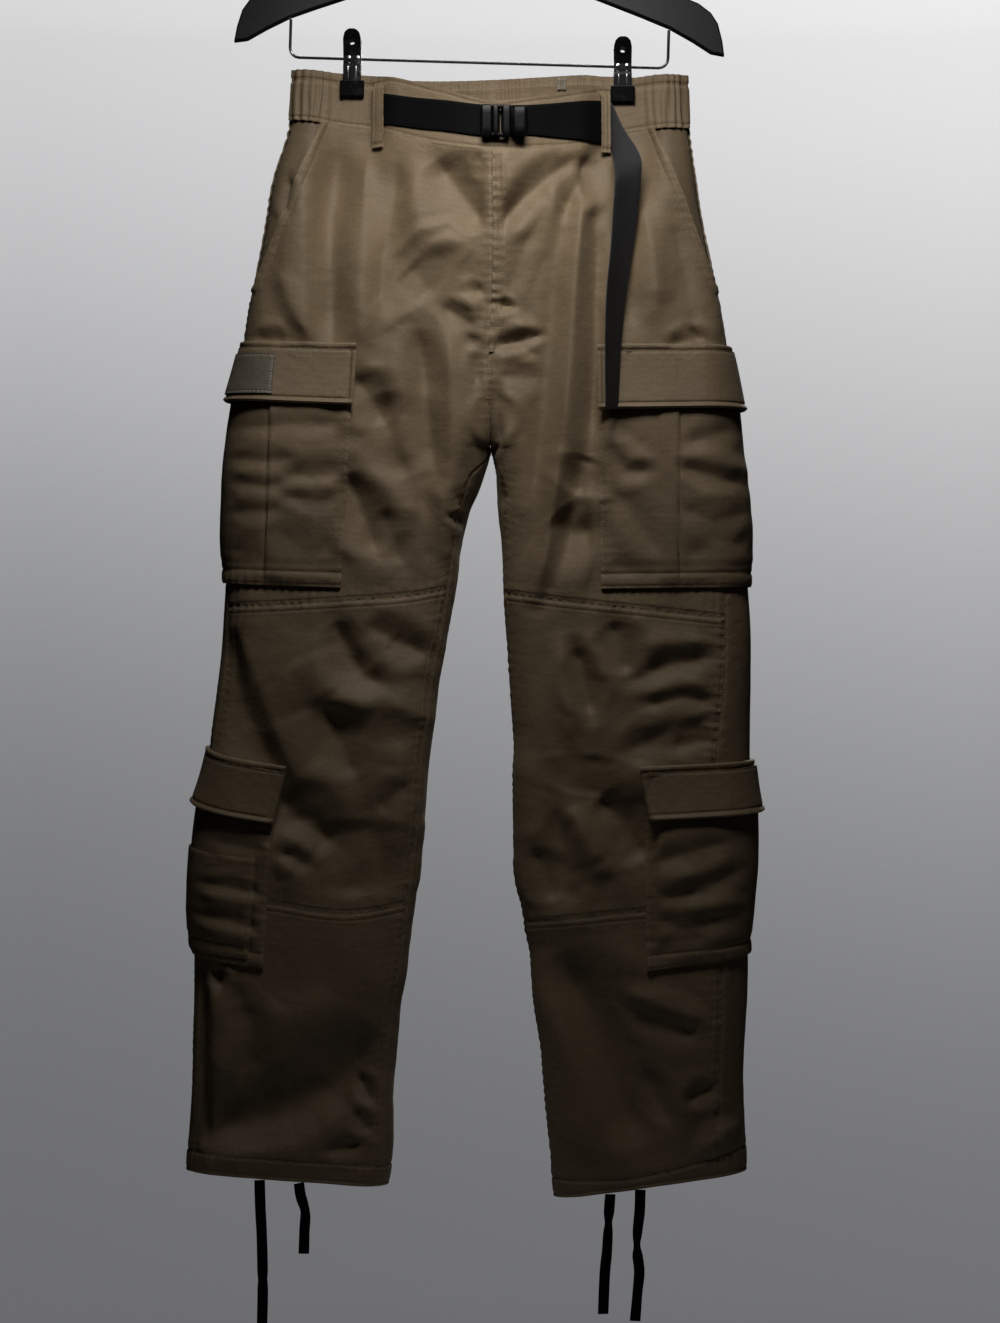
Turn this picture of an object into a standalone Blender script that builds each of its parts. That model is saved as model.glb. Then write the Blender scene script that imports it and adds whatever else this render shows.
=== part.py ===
import math
from collections import namedtuple

import bmesh
import bpy
from mathutils import Matrix, Vector

for old in list(bpy.data.objects):
    bpy.data.objects.remove(old, do_unlink=True)

# Cargo pants on a clip hanger. Metres, +Z up, the front faces -Y. The origin is the point
# where the hook rests on a rail. "drop" is a distance below that point, "lift" is a distance
# out from the cloth's outer face, and left and right are as seen from the front.

OBJECT = "cargo_pants_on_clip_hanger"
GAP = 0.0003
WAIST_GAP = 0.0012
CLOTH = 0.0016
BAND = 0.0022
WEBBING = 0.0016
CROTCH = 0.568
RISE_RADIUS = 0.070
OUTER_ROUND = 0.036
INNER_ROUND = 0.034

# One half of the pants at one height: where its edges stand, how far the front and the back
# stand off the middle plane, and how far in from the edge each side seam shows in front.
Half = namedtuple("Half", "drop outer inner front back outseam inseam")
LEFT_HALF = [
    Half(0.205, -0.1820, 0.0066, 0.012, 0.009, 0.000, 0.000),
    Half(0.264, -0.1872, 0.0066, 0.016, 0.012, 0.000, 0.000),
    Half(0.304, -0.1995, 0.0070, 0.024, 0.018, 0.000, 0.000),
    Half(0.361, -0.2090, 0.0076, 0.031, 0.026, 0.000, 0.000),
    Half(0.427, -0.2213, 0.0066, 0.035, 0.031, 0.000, 0.000),
    Half(0.494, -0.2308, 0.0030, 0.037, 0.034, 0.000, 0.000),
    Half(0.568, -0.2380, 0.0050, 0.037, 0.034, 0.000, 0.000),
    Half(0.598, -0.2408, -0.0019, 0.036, 0.033, 0.002, 0.012),
    Half(0.627, -0.2422, -0.0143, 0.035, 0.032, 0.003, 0.010),
    Half(0.656, -0.2442, -0.0209, 0.034, 0.031, 0.004, 0.009),
    Half(0.713, -0.2470, -0.0285, 0.032, 0.029, 0.005, 0.009),
    Half(0.789, -0.2541, -0.0423, 0.030, 0.027, 0.006, 0.009),
    Half(0.865, -0.2622, -0.0522, 0.028, 0.025, 0.007, 0.009),
    Half(0.941, -0.2712, -0.0589, 0.026, 0.024, 0.008, 0.009),
    Half(1.017, -0.2755, -0.0684, 0.025, 0.023, 0.008, 0.009),
    Half(1.093, -0.2764, -0.0789, 0.024, 0.022, 0.008, 0.009),
    Half(1.169, -0.2788, -0.0864, 0.024, 0.022, 0.008, 0.008),
    Half(1.285, -0.2870, -0.0975, 0.025, 0.023, 0.008, 0.007),
]
RIGHT_HALF = [
    Half(0.205, 0.1918, 0.0066, 0.012, 0.009, 0.000, 0.000),
    Half(0.264, 0.1948, 0.0066, 0.016, 0.012, 0.000, 0.000),
    Half(0.304, 0.2004, 0.0070, 0.024, 0.018, 0.000, 0.000),
    Half(0.361, 0.2099, 0.0076, 0.031, 0.026, 0.000, 0.000),
    Half(0.427, 0.2242, 0.0066, 0.035, 0.031, 0.000, 0.000),
    Half(0.494, 0.2332, 0.0030, 0.037, 0.034, 0.004, 0.000),
    Half(0.568, 0.2356, 0.0070, 0.037, 0.034, 0.010, 0.000),
    Half(0.598, 0.2394, 0.0109, 0.036, 0.033, 0.013, 0.007),
    Half(0.627, 0.2432, 0.0123, 0.035, 0.032, 0.016, 0.006),
    Half(0.656, 0.2465, 0.0152, 0.034, 0.031, 0.020, 0.003),
    Half(0.713, 0.2503, 0.0171, 0.032, 0.029, 0.025, 0.001),
    Half(0.789, 0.2527, 0.0233, 0.030, 0.027, 0.029, 0.000),
    Half(0.865, 0.2522, 0.0276, 0.028, 0.025, 0.036, 0.000),
    Half(0.941, 0.2508, 0.0295, 0.027, 0.024, 0.031, 0.000),
    Half(1.017, 0.2480, 0.0361, 0.026, 0.023, 0.027, 0.000),
    Half(1.093, 0.2480, 0.0485, 0.025, 0.022, 0.026, 0.000),
    Half(1.169, 0.2442, 0.0570, 0.025, 0.022, 0.025, 0.000),
    Half(1.285, 0.2480, 0.0645, 0.026, 0.023, 0.025, 0.000),
]
HALVES = {"left": LEFT_HALF, "right": RIGHT_HALF}

# The waistband's upper edge and its seam to the legs, across the front and the back.
Waist = namedtuple("Waist", "x top_front top_back seam_front seam_back")
WAIST = [
    Waist(-0.190, 0.2090, 0.2090, 0.2556, 0.2556),
    Waist(-0.136, 0.2130, 0.2130, 0.2620, 0.2580),
    Waist(-0.106, 0.2158, 0.2160, 0.2660, 0.2595),
    Waist(-0.082, 0.2200, 0.2170, 0.2730, 0.2605),
    Waist(-0.042, 0.2325, 0.2178, 0.2850, 0.2620),
    Waist(0.006, 0.2458, 0.2165, 0.2925, 0.2630),
    Waist(0.056, 0.2388, 0.2138, 0.2890, 0.2635),
    Waist(0.095, 0.2300, 0.2120, 0.2830, 0.2640),
    Waist(0.113, 0.2260, 0.2145, 0.2760, 0.2640),
    Waist(0.131, 0.2200, 0.2150, 0.2690, 0.2642),
    Waist(0.150, 0.2160, 0.2160, 0.2665, 0.2644),
    Waist(0.195, 0.2147, 0.2147, 0.2644, 0.2644),
]

# The cross seams of each leg: above and below the knee piece, and the hem.
Cross = namedtuple("Cross", "x knee_top knee_bottom hem_seam hem")
CROSS = {
    "left": [
        Cross(-0.280, 0.7190, 0.985, 1.2325, 1.2520),
        Cross(-0.200, 0.7165, 0.998, 1.2385, 1.2580),
        Cross(-0.130, 0.7125, 1.007, 1.2435, 1.2630),
        Cross(-0.070, 0.7080, 0.998, 1.2470, 1.2665),
        Cross(-0.028, 0.7000, 0.990, 1.2500, 1.2700),
    ],
    "right": [
        Cross(0.015, 0.7050, 1.018, 1.2620, 1.2830),
        Cross(0.065, 0.7120, 1.013, 1.2590, 1.2770),
        Cross(0.140, 0.7200, 1.006, 1.2560, 1.2670),
        Cross(0.200, 0.7265, 1.001, 1.2420, 1.2585),
        Cross(0.250, 0.7320, 0.998, 1.2280, 1.2515),
    ],
}

PANEL_COLUMNS = 10
FACING_COLUMNS = 3
BACK_COLUMNS = 9
HEM_COLUMNS = 24
HEM_PROUD = 0.0004

# Heights at which the seams above are named, and the rows between them.
BAND_LEVEL = 0.244
WAIST_LEVEL = 0.264
UPPER_LEVEL = 0.500
LOWER_LEVEL = 0.600
KNEE_TOP_LEVEL = 0.713
KNEE_BOTTOM_LEVEL = 1.000
HEM_SEAM_LEVEL = 1.243
HEM_LEVEL = 1.262
MOUTH_ROWS = [0.264, 0.285, 0.305, 0.330, 0.355, 0.385, 0.410, 0.422, 0.430]
HIP_ROWS = MOUTH_ROWS + [0.440, 0.468, 0.498, 0.525, 0.545, 0.558, 0.565, 0.568, 0.572, 0.580, 0.598,
                         0.625, 0.655, 0.685, 0.713]
SEAT_BOTTOM = 0.580
KNEE_ROWS = [0.713,0.735, 0.770, 0.805, 0.840, 0.875, 0.910, 0.945, 0.975, 1.000]
SHIN_ROWS = [1.000, 1.035, 1.070, 1.105, 1.140, 1.175, 1.210, 1.243]

# The hip pocket's mouth runs down from the waistband to the side seam.
MOUTH_TOP_X = {"left": -0.157, "right": 0.160}
MOUTH_BOTTOM = 0.432

# The clips pinch the two sides of the waistband together.
Clip = namedtuple("Clip", "x pad")
CLIPS = {"left": Clip(-0.1259, 0.2278), "right": Clip(0.1306, 0.2330)}
PINCH_REACH = 0.030
PINCHED = 0.0027
PINCH_FADE = 0.150
BELLY = 0.026
BELLY_REACH = 0.112

# The largest folds across the front and the back: a soft line with a depth, in or out.
Fold = namedtuple("Fold", "x1 drop1 x2 drop2 width depth")
FRONT_FOLDS = [
    Fold(-0.040, 0.305, 0.003, 0.358, 0.016, 0.006),
    Fold(0.088, 0.290, 0.012, 0.352, 0.016, 0.005),
    Fold(0.100, 0.292, 0.075, 0.345, 0.014, 0.006),
    Fold(0.092, 0.320, 0.080, 0.480, 0.016, -0.005),
    Fold(-0.030, 0.430, 0.000, 0.475, 0.018, 0.006),
    Fold(0.006, 0.474, 0.055, 0.468, 0.016, 0.007),
    Fold(-0.136, 0.730, -0.120, 0.780, 0.022, 0.007),
    Fold(-0.240, 0.735, -0.210, 0.815, 0.024, 0.006),
    Fold(0.085, 0.745, 0.102, 0.820, 0.022, 0.006),
    Fold(0.150, 0.830, 0.210, 0.805, 0.020, 0.005),
    Fold(-0.260, 1.205, -0.125, 1.140, 0.030, 0.008),
    Fold(0.050, 1.070, 0.140, 1.240, 0.026, -0.005),
    Fold(0.148, 1.080, 0.212, 1.110, 0.022, 0.005),
]
BACK_FOLDS = [
    Fold(-0.095, 0.520, -0.025, 0.565, 0.026, 0.006),
    Fold(0.110, 0.510, 0.035, 0.565, 0.026, 0.006),
    Fold(-0.140, 0.770, -0.070, 0.810, 0.026, 0.006),
    Fold(0.060, 0.790, 0.150, 0.755, 0.026, 0.006),
    Fold(-0.155, 1.120, -0.110, 1.060, 0.026, 0.005),
    Fold(0.085, 1.080, 0.150, 1.135, 0.026, 0.005),
]
# Folds stop short of the fly.
FLY_CALM = 0.012
FLY_CALM_REACH = 0.020

# Patches that lie on the legs: heights at the front edge, at the side of the leg and at the
# edge on the back, and where the front and back edges stand at the top and the bottom.
Patch = namedtuple("Patch", "front_top side_top back_top front_low side_low back_low "
                            "front_x front_low_x back_x back_low_x lift puff columns rows")
POCKETS = {
    ("thigh_pocket", "left"): Patch(0.4790, 0.4737, 0.4740, 0.7010, 0.6960, 0.6970,
                                    -0.1215, -0.1351, -0.130, -0.140, 0.0014, 0.006, 12, 7),
    ("thigh_pocket", "right"): Patch(0.4800, 0.4790, 0.4800, 0.7019, 0.7000, 0.7010,
                                     0.1063, 0.1091, 0.150, 0.155, 0.0014, 0.006, 12, 7),
    ("calf_pocket", "left"): Patch(0.8748, 0.8560, 0.8600, 1.0590, 1.0440, 1.0480,
                                   -0.1975, -0.2085, -0.185, -0.190, 0.0014, 0.005, 11, 6),
    ("calf_pocket", "right"): Patch(0.8748, 0.8682, 0.8700, 1.0610, 1.0449, 1.0470,
                                    0.1500, 0.1524, 0.185, 0.180, 0.0014, 0.005, 12, 6),
}
FLAP_COVER = 0.0024
FLAP_FLARE = 0.003
LABEL_CLOTH = 0.0010
FLAPS = {
    ("thigh_flap", "left"): Patch(0.4784, 0.4737, 0.4740, 0.5310, 0.5254, 0.5260,
                                  -0.1200, -0.1228, -0.128, -0.128, 0.0, 0.0, 12, 2),
    ("thigh_flap", "right"): Patch(0.4790, 0.4784, 0.4790, 0.5348, 0.5329, 0.5335,
                                   0.1053, 0.1058, 0.148, 0.148, 0.0, 0.0, 12, 2),
    ("calf_flap", "left"): Patch(0.8748, 0.8560, 0.8590, 0.9227, 0.9039, 0.9070,
                                 -0.1869, -0.1985, -0.183, -0.185, 0.0, 0.0, 11, 2),
    ("calf_flap", "right"): Patch(0.8748, 0.8682, 0.8700, 0.9199, 0.9114, 0.9130,
                                  0.1458, 0.1543, 0.183, 0.183, 0.0, 0.0, 12, 2),
}
WELT_HEIGHT = 0.005
WELT_LIFT = 0.0014
WELT_THICK = 0.0024
CALF_PATCH = Patch(0.9556, 0.9443, 0.9460, 1.0500, 1.0400, 1.0430,
                   -0.2160, -0.2226, -0.205, -0.210, 0.0, 0.0, 9, 3)
FLAP_LABEL = Patch(0.4830, 0.4803, 0.4800, 0.5205, 0.5185, 0.5180,
                   -0.1952, -0.1980, -0.229, -0.229, 0.0, 0.0, 12, 2)

# The belt: its upper and lower edges along the front, where the ribbon lies on the band.
Ribbon = namedtuple("Ribbon", "x top bottom lift")
BELT_LEFT = [
    Ribbon(-0.1080, 0.2300, 0.2610, 0.0010),
    Ribbon(-0.0917, 0.2345, 0.2634, 0.0010),
    Ribbon(-0.0654, 0.2400, 0.2690, 0.0012),
    Ribbon(-0.0350, 0.2450, 0.2740, 0.0012),
    Ribbon(-0.0100, 0.2495, 0.2790, 0.0012),
    Ribbon(0.0140, 0.2515, 0.2810, 0.0012),
]
BELT_RIGHT = [
    Ribbon(0.0150, 0.2510, 0.2800, 0.0012),
    Ribbon(0.0400, 0.2495, 0.2780, 0.0012),
    Ribbon(0.0750, 0.2445, 0.2790, 0.0014),
    Ribbon(0.1060, 0.2400, 0.2800, 0.0020),
    Ribbon(0.1184, 0.2400, 0.2800, 0.0022),
]
# The belt's free end turns down beside the loop and hangs with a half twist.
Tail = namedtuple("Tail", "x1 y1 drop1 x2 y2 drop2")
BELT_TAIL = [
    Tail(0.1205, -0.0240, 0.2950, 0.1300, -0.0180, 0.2660),
    Tail(0.1210, -0.0420, 0.3080, 0.1455, -0.0330, 0.2960),
    Tail(0.1212, -0.0600, 0.3230, 0.1462, -0.0350, 0.3180),
    Tail(0.1190, -0.0650, 0.3540, 0.1425, -0.0375, 0.3520),
    Tail(0.1165, -0.0700, 0.3900, 0.1375, -0.0395, 0.3900),
    Tail(0.1125, -0.0750, 0.4300, 0.1318, -0.0425, 0.4300),
    Tail(0.1112, -0.0780, 0.4700, 0.1275, -0.0450, 0.4700),
    Tail(0.1112, -0.0790, 0.5050, 0.1255, -0.0465, 0.5050),
    Tail(0.1115, -0.0790, 0.5360, 0.1245, -0.0470, 0.5330),
]
Loop = namedtuple("Loop", "x top bottom")
LOOPS = {"left": Loop(-0.0990, 0.2205, 0.2860), "right": Loop(0.1130, 0.2275, 0.2900)}
LOOP_WIDTH = 0.0100
LOOP_CLOTH = 0.0012
LOOP_EASE = 0.0030
LOOP_SEAT = 0.0010
LOOP_LOW_SEAT = 0.0024
ON_PATCH = 0.0012
BAND_OUTER = 0.0006
GATHER = 0.0010
BACK_BAND_X = {"left": -0.110, "right": 0.120}
BAND_FRONT_COLUMNS = 12
BAND_SIDE_COLUMNS = 34
BAND_BACK_COLUMNS = 14
# The turn at which a back panel ends at the middle seam.
BACK_END = 1.9999
WAIST_LABEL_X = [0.069, 0.073, 0.077]
WAIST_LABEL_TOP = 0.2150
WAIST_LABEL_LENGTH = 0.0110
BUCKLE_X = 0.0180
BUCKLE_DROP = 0.2665
BUCKLE_WIDTH = 0.044
BUCKLE_HEIGHT = 0.031
BUCKLE_DEPTH = 0.007
BUCKLE_SEAT = 0.0018
BUCKLE_FRAME_SHARE = 0.64
BUCKLE_SLOTS = [0.0045, 0.0145]
BUCKLE_SLOT = 0.0035
BUCKLE_CAP_PROUD = 0.002
BUCKLE_CAP_ROUND = 0.0038
PLACKET_WIDTH = 0.0115
PLACKET_BOTTOM = 0.478
PLACKET_BELOW_BAND = 0.0025
PLACKET_SEAT = 0.0005

# The hem's drawcords, flat tapes: points along the middle of each free end.
CORD_DIAMETER = 0.010
CORD_STEP = 0.014
CORDS = {
    "drawcord_1": [(-0.2120, -0.0235, 1.2585), (-0.2112, -0.0240, 1.2850), (-0.2100, -0.0240, 1.3080),
                   (-0.2093, -0.0238, 1.3340), (-0.2090, -0.0236, 1.3640), (-0.2096, -0.0235, 1.3930),
                   (-0.2100, -0.0235, 1.4130)],
    "drawcord_2": [(-0.1750, -0.0240, 1.2612), (-0.1732, -0.0245, 1.2730), (-0.1690, -0.0250, 1.2880),
                   (-0.1697, -0.0250, 1.3070), (-0.1703, -0.0245, 1.3274)],
    "drawcord_3": [(0.1180, -0.0255, 1.2714), (0.1168, -0.0262, 1.2870), (0.1160, -0.0265, 1.3020),
                   (0.1148, -0.0262, 1.3250), (0.1128, -0.0258, 1.3460), (0.1112, -0.0255, 1.3839)],
    "drawcord_4": [(0.1462, -0.0252, 1.2673), (0.1456, -0.0258, 1.2870), (0.1436, -0.0262, 1.3060),
                   (0.1431, -0.0262, 1.3240), (0.1452, -0.0258, 1.3440), (0.1435, -0.0256, 1.3640),
                   (0.1413, -0.0255, 1.3905)],
}

# The hanger hangs with a small tilt. Its outline is one half, mirrored, tip to middle.
HANGER_TILT = math.radians(1.67)
Outline = namedtuple("Outline", "x drop")
SHOULDER_TOP = [Outline(0.0, 0.0770), Outline(0.018, 0.0785), Outline(0.050, 0.0860), Outline(0.100, 0.1010),
                Outline(0.150, 0.1190), Outline(0.176, 0.1290), Outline(0.179, 0.1345),
                Outline(0.1825, 0.1365), Outline(0.186, 0.1350), Outline(0.1885, 0.1335),
                Outline(0.207, 0.1406), Outline(0.2187, 0.1490), Outline(0.2256, 0.1590), Outline(0.2302, 0.1750)]
SHOULDER_LOW = [Outline(0.2325, 0.1890), Outline(0.2200, 0.1870), Outline(0.2023, 0.1763),
                Outline(0.1800, 0.1645), Outline(0.1540, 0.1546), Outline(0.1313, 0.1464), Outline(0.1113, 0.1393),
                Outline(0.0750, 0.1275), Outline(0.0350, 0.1185), Outline(0.0, 0.1160)]
SHOULDER_THICK = 0.011
SHOULDER_EDGE = 0.0015
HOOK_WIRE = 0.0020
HOOK_RADIUS = 0.0240
HOOK_STEM = 0.0600
BAR_WIRE = 0.0014
BAR_HALF = 0.1795
BAR_TOP = 0.1660
BAR_DROP = 0.2020
BAR_CORNER = 0.009
JAW_WIDTH = 0.017
JAW_THICK = 0.0012
JAW_RISE = 0.0263
JAW_FLARE = 0.010
JAW_GRIP = 0.003
JAW_SETTLED = 0.008
JAW_ROUND = [0.0, 0.0012, 0.0035]
JAW_HOLE = 0.0028
JAW_HOLE_DROP = 0.0112
PAD_WIDTH = 0.0230
PAD_HEIGHT = 0.0155
PAD_THICK = 0.0045
PAD_CLEAR = 0.0007

COLOURS = {
    "cloth": (0.205, 0.168, 0.115, 1.0),
    "webbing": (0.018, 0.018, 0.021, 1.0),
    "plastic": (0.012, 0.012, 0.014, 1.0),
    "metal": (0.030, 0.030, 0.033, 1.0),
    "wire": (0.300, 0.300, 0.310, 1.0),
    "label": (0.180, 0.160, 0.120, 1.0),
}
ROUGHNESS = {"cloth": 0.9, "webbing": 0.8, "plastic": 0.35, "metal": 0.25, "wire": 0.3, "label": 0.7}
METALLIC = {"cloth": 0.0, "webbing": 0.0, "plastic": 0.0, "metal": 0.6, "wire": 0.9, "label": 0.0}

collection = bpy.data.collections.new(OBJECT)
bpy.context.scene.collection.children.link(collection)
cutters = bpy.data.collections.new("cutters")
bpy.context.scene.collection.children.link(cutters)


def dress(item, kind):
    material = bpy.data.materials.new(item.name)
    material.use_nodes = True
    shader = material.node_tree.nodes["Principled BSDF"]
    shader.inputs["Base Color"].default_value = COLOURS[kind]
    shader.inputs["Roughness"].default_value = ROUGHNESS[kind]
    shader.inputs["Metallic"].default_value = METALLIC[kind]
    item.data.materials.clear()
    item.data.materials.append(material)


def keep(item, kind):
    for holder in list(item.users_collection):
        holder.objects.unlink(item)
    collection.objects.link(item)
    dress(item, kind)
    return item


def smooth(value):
    value = min(max(value, 0.0), 1.0)
    return value * value * (3.0 - 2.0 * value)


# A column of a table at a given key, on a curve through the table's rows.
def read(table, key, column, at):
    keys = [getattr(row, key) for row in table]
    values = [getattr(row, column) for row in table]
    at = min(max(at, keys[0]), keys[-1])
    index = 0
    while index < len(keys) - 2 and at > keys[index + 1]:
        index += 1
    before = max(index - 1, 0)
    after = min(index + 2, len(keys) - 1)
    span = keys[index + 1] - keys[index]
    part = (at - keys[index]) / span
    slope1 = (values[index + 1] - values[before]) / (keys[index + 1] - keys[before]) * span
    slope2 = (values[after] - values[index]) / (keys[after] - keys[index]) * span
    return ((2 * part ** 3 - 3 * part ** 2 + 1) * values[index] + (part ** 3 - 2 * part ** 2 + part) * slope1
            + (3 * part ** 2 - 2 * part ** 3) * values[index + 1] + (part ** 3 - part ** 2) * slope2)


def half_row(side, drop):
    table = HALVES[side]
    return Half(drop, *[read(table, "drop", column, drop) for column in Half._fields[1:]])


# A rounded end of a flattened tube: 0 at the edge, 1 from the radius inward.
def round_end(distance, radius):
    reach = min(max(distance / radius, 0.0), 1.0)
    return math.sqrt(1.0 - (1.0 - reach) ** 2)


# The rise seam in profile: 1 down to the start of its curve, 0 at the crotch and below.
def rise(drop):
    part = (drop - (CROTCH - RISE_RADIUS)) / RISE_RADIUS
    part = min(max(part, 0.0), 1.0)
    return math.sqrt(1.0 - part * part)


def pinch(x, drop):
    fade = 1.0 - smooth((drop - WAIST_LEVEL + 0.010) / PINCH_FADE)
    near = max(math.exp(-((x - clip.x) / PINCH_REACH) ** 4) for clip in CLIPS.values())
    return fade * near


def belly(x, drop):
    reach = min(abs(x - 0.003) / BELLY_REACH, 1.0)
    fade = 1.0 - smooth((drop - 0.250) / 0.230)
    return BELLY * fade * math.cos(reach * math.pi / 2) ** 2


def fold_depth(folds, x, drop):
    total = 0.0
    for fold in folds:
        run_x = fold.x2 - fold.x1
        run_drop = fold.drop2 - fold.drop1
        length = math.hypot(run_x, run_drop)
        along = ((x - fold.x1) * run_x + (drop - fold.drop1) * run_drop) / length ** 2
        beyond = max(-along, along - 1.0, 0.0) * length
        across = ((x - fold.x1) * run_drop - (drop - fold.drop1) * run_x) / length
        total += fold.depth * math.exp(-(across ** 2 + beyond ** 2) / (2 * (fold.width / 2) ** 2))
    calm = smooth((abs(x - half_row("left", drop).inner) - FLY_CALM) / FLY_CALM_REACH)
    return total * (calm if drop < CROTCH else 1.0)


# A point of one half's cloth. "turn" runs 0 to 1 over the front, from the middle or the inner
# leg to the outer edge, and 1 to 2 back over the rear.
def surface(side, turn, drop):
    row = half_row(side, drop)
    share = (1.0 - math.cos(math.pi * turn)) / 2.0
    x = row.inner + (row.outer - row.inner) * share
    width = abs(row.outer - row.inner)
    hollow = rise(drop)
    inner_end = hollow + (1.0 - hollow) * round_end(share * width, INNER_ROUND)
    end = round_end((1.0 - share) * width, OUTER_ROUND) * inner_end
    squeeze = pinch(x, drop)
    if 0.0 <= turn <= 1.0 or turn > 2.0:
        depth = row.front * end
        depth = depth * (1.0 - squeeze) + min(PINCHED, depth) * squeeze
        depth += belly(x, drop) * (1.0 - squeeze) * end - fold_depth(FRONT_FOLDS, x, drop) * end
        return Vector((x, -depth, -drop))
    depth = row.back * end
    depth = depth * (1.0 - squeeze) + min(PINCHED, depth) * squeeze
    depth -= fold_depth(BACK_FOLDS, x, drop) * end
    return Vector((x, depth, -drop))


def normal(side, turn, drop):
    low = turn - 0.012
    high = turn + 0.012
    if drop < CROTCH:
        low = max(low, 0.0)
        high = min(high, 1.99999)
    across = surface(side, high, drop) - surface(side, low, drop)
    down = surface(side, turn, drop + 0.002) - surface(side, turn, drop - 0.002)
    outward = across.cross(down).normalized()
    return outward if side == "left" else -outward


def lifted(side, turn, drop, lift):
    return surface(side, turn, drop) + normal(side, turn, drop) * lift


# The turn at which one half's front reaches x.
def turn_at(side, x, drop):
    row = half_row(side, drop)
    share = (x - row.inner) / (row.outer - row.inner)
    return math.acos(1.0 - 2.0 * min(max(share, 0.0), 1.0)) / math.pi


# A turn moved off a seam by half the gap, measured along the cloth.
def off_seam(side, turn, drop, way):
    start = surface(side, turn, drop)
    moved = turn
    step = 0.0004
    while (surface(side, moved, drop) - start).length < GAP * 0.55:
        moved += way * step
        step *= 1.2
    return moved


def outseam_turn(side, drop):
    row = half_row(side, drop)
    return turn_at(side, row.outer - math.copysign(row.outseam, row.outer), drop)


def inseam_turn(side, drop):
    row = half_row(side, drop)
    inset = row.inseam * smooth((drop - CROTCH) / 0.03)
    return turn_at(side, row.inner + math.copysign(inset, row.outer), drop)


def mouth_turn(side, drop):
    if drop >= MOUTH_BOTTOM:
        return outseam_turn(side, drop)
    part = (drop - WAIST_LEVEL) / (MOUTH_BOTTOM - WAIST_LEVEL)
    edge = half_row(side, MOUTH_BOTTOM).outer
    return turn_at(side, MOUTH_TOP_X[side] + (edge - MOUTH_TOP_X[side]) * part, drop)


# Seams that are not level: the shift of each from its named height, blended between them.
def warp(side, turn, level, front):
    x = surface(side, turn, level).x
    waist = read(WAIST, "x", "seam_front" if front else "seam_back", x)
    cross = {name: read(CROSS[side], "x", name, x) for name in Cross._fields[1:]}
    lines = [(0.0, 0.0), (WAIST_LEVEL, waist - WAIST_LEVEL), (UPPER_LEVEL, 0.0), (LOWER_LEVEL, 0.0)]
    if front:
        lines.append((KNEE_TOP_LEVEL, cross["knee_top"] - KNEE_TOP_LEVEL))
        lines.append((KNEE_BOTTOM_LEVEL, cross["knee_bottom"] - KNEE_BOTTOM_LEVEL))
    else:
        lines.append((KNEE_BOTTOM_LEVEL, 0.0))
    lines.append((HEM_SEAM_LEVEL, cross["hem_seam"] - HEM_SEAM_LEVEL))
    lines.append((HEM_LEVEL, cross["hem"] - HEM_LEVEL))
    index = 0
    while index < len(lines) - 2 and level > lines[index + 1][0]:
        index += 1
    start, end = lines[index], lines[index + 1]
    part = (level - start[0]) / (end[0] - start[0])
    return level + start[1] + (end[1] - start[1]) * part


# A closed wall between two grids of points, the outer and the inner face of a piece.
def wall(name, kind, outer, inner, ring=False):
    rows = len(outer)
    columns = len(outer[0])
    points = [point for grid in (outer, inner) for row in grid for point in row]
    offset = rows * columns

    def at(face, row, column):
        return face * offset + row * columns + column % columns

    faces = []
    for row in range(rows - 1):
        for column in range(columns if ring else columns - 1):
            quad = [at(0, row, column), at(0, row, column + 1), at(0, row + 1, column + 1), at(0, row + 1, column)]
            faces.append(quad)
            faces.append([index + offset for index in reversed(quad)])
    for column in range(columns if ring else columns - 1):
        faces.append([at(0, 0, column + 1), at(0, 0, column), at(1, 0, column), at(1, 0, column + 1)])
        last = rows - 1
        faces.append([at(0, last, column), at(0, last, column + 1), at(1, last, column + 1), at(1, last, column)])
    if not ring:
        for row in range(rows - 1):
            faces.append([at(0, row, 0), at(0, row + 1, 0), at(1, row + 1, 0), at(1, row, 0)])
            last = columns - 1
            faces.append([at(0, row + 1, last), at(0, row, last), at(1, row, last), at(1, row + 1, last)])
    mesh = bpy.data.meshes.new(name)
    mesh.from_pydata([tuple(point) for point in points], [], faces)
    shape = bmesh.new()
    shape.from_mesh(mesh)
    bmesh.ops.recalc_face_normals(shape, faces=shape.faces)
    shape.to_mesh(mesh)
    shape.free()
    mesh.shade_smooth()
    mesh.set_sharp_from_angle(angle=math.radians(40))
    return keep(bpy.data.objects.new(name, mesh), kind)


# A wall over a grid of (side, turn, drop), from lift "low" to lift "high".
def cloth(name, kind, grid, low, high, ring=False):
    outer = [[lifted(*spot, high) for spot in row] for row in grid]
    inner = [[lifted(*spot, low) for spot in row] for row in grid]
    return wall(name, kind, outer, inner, ring)


# A panel between two seams, on the rows of its levels.
def panel(name, side, levels, columns, first, last, front=True):
    grid = []
    for index, level in enumerate(levels):
        near = warp(side, first(side, level), level, front)
        far = warp(side, last(side, level), level, front)
        start = off_seam(side, first(side, near), near, 1)
        end = off_seam(side, last(side, far), far, -1)
        row = []
        for column in range(columns + 1):
            turn = start + (end - start) * column / columns
            drop = warp(side, turn, level, front)
            if level == WAIST_LEVEL:
                drop += WAIST_GAP / 2
            elif index == 0:
                drop += GAP / 2
            elif index == len(levels) - 1:
                drop -= GAP / 2
            row.append((side, turn, drop))
        grid.append(row)
    return cloth(name, "cloth", grid, -CLOTH, 0.0)


def rear_start(side, drop):
    return outseam_turn(side, drop)


def rear_end(side, drop):
    if drop < CROTCH:
        return BACK_END
    return 2.0 + inseam_turn(side, drop)


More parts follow.
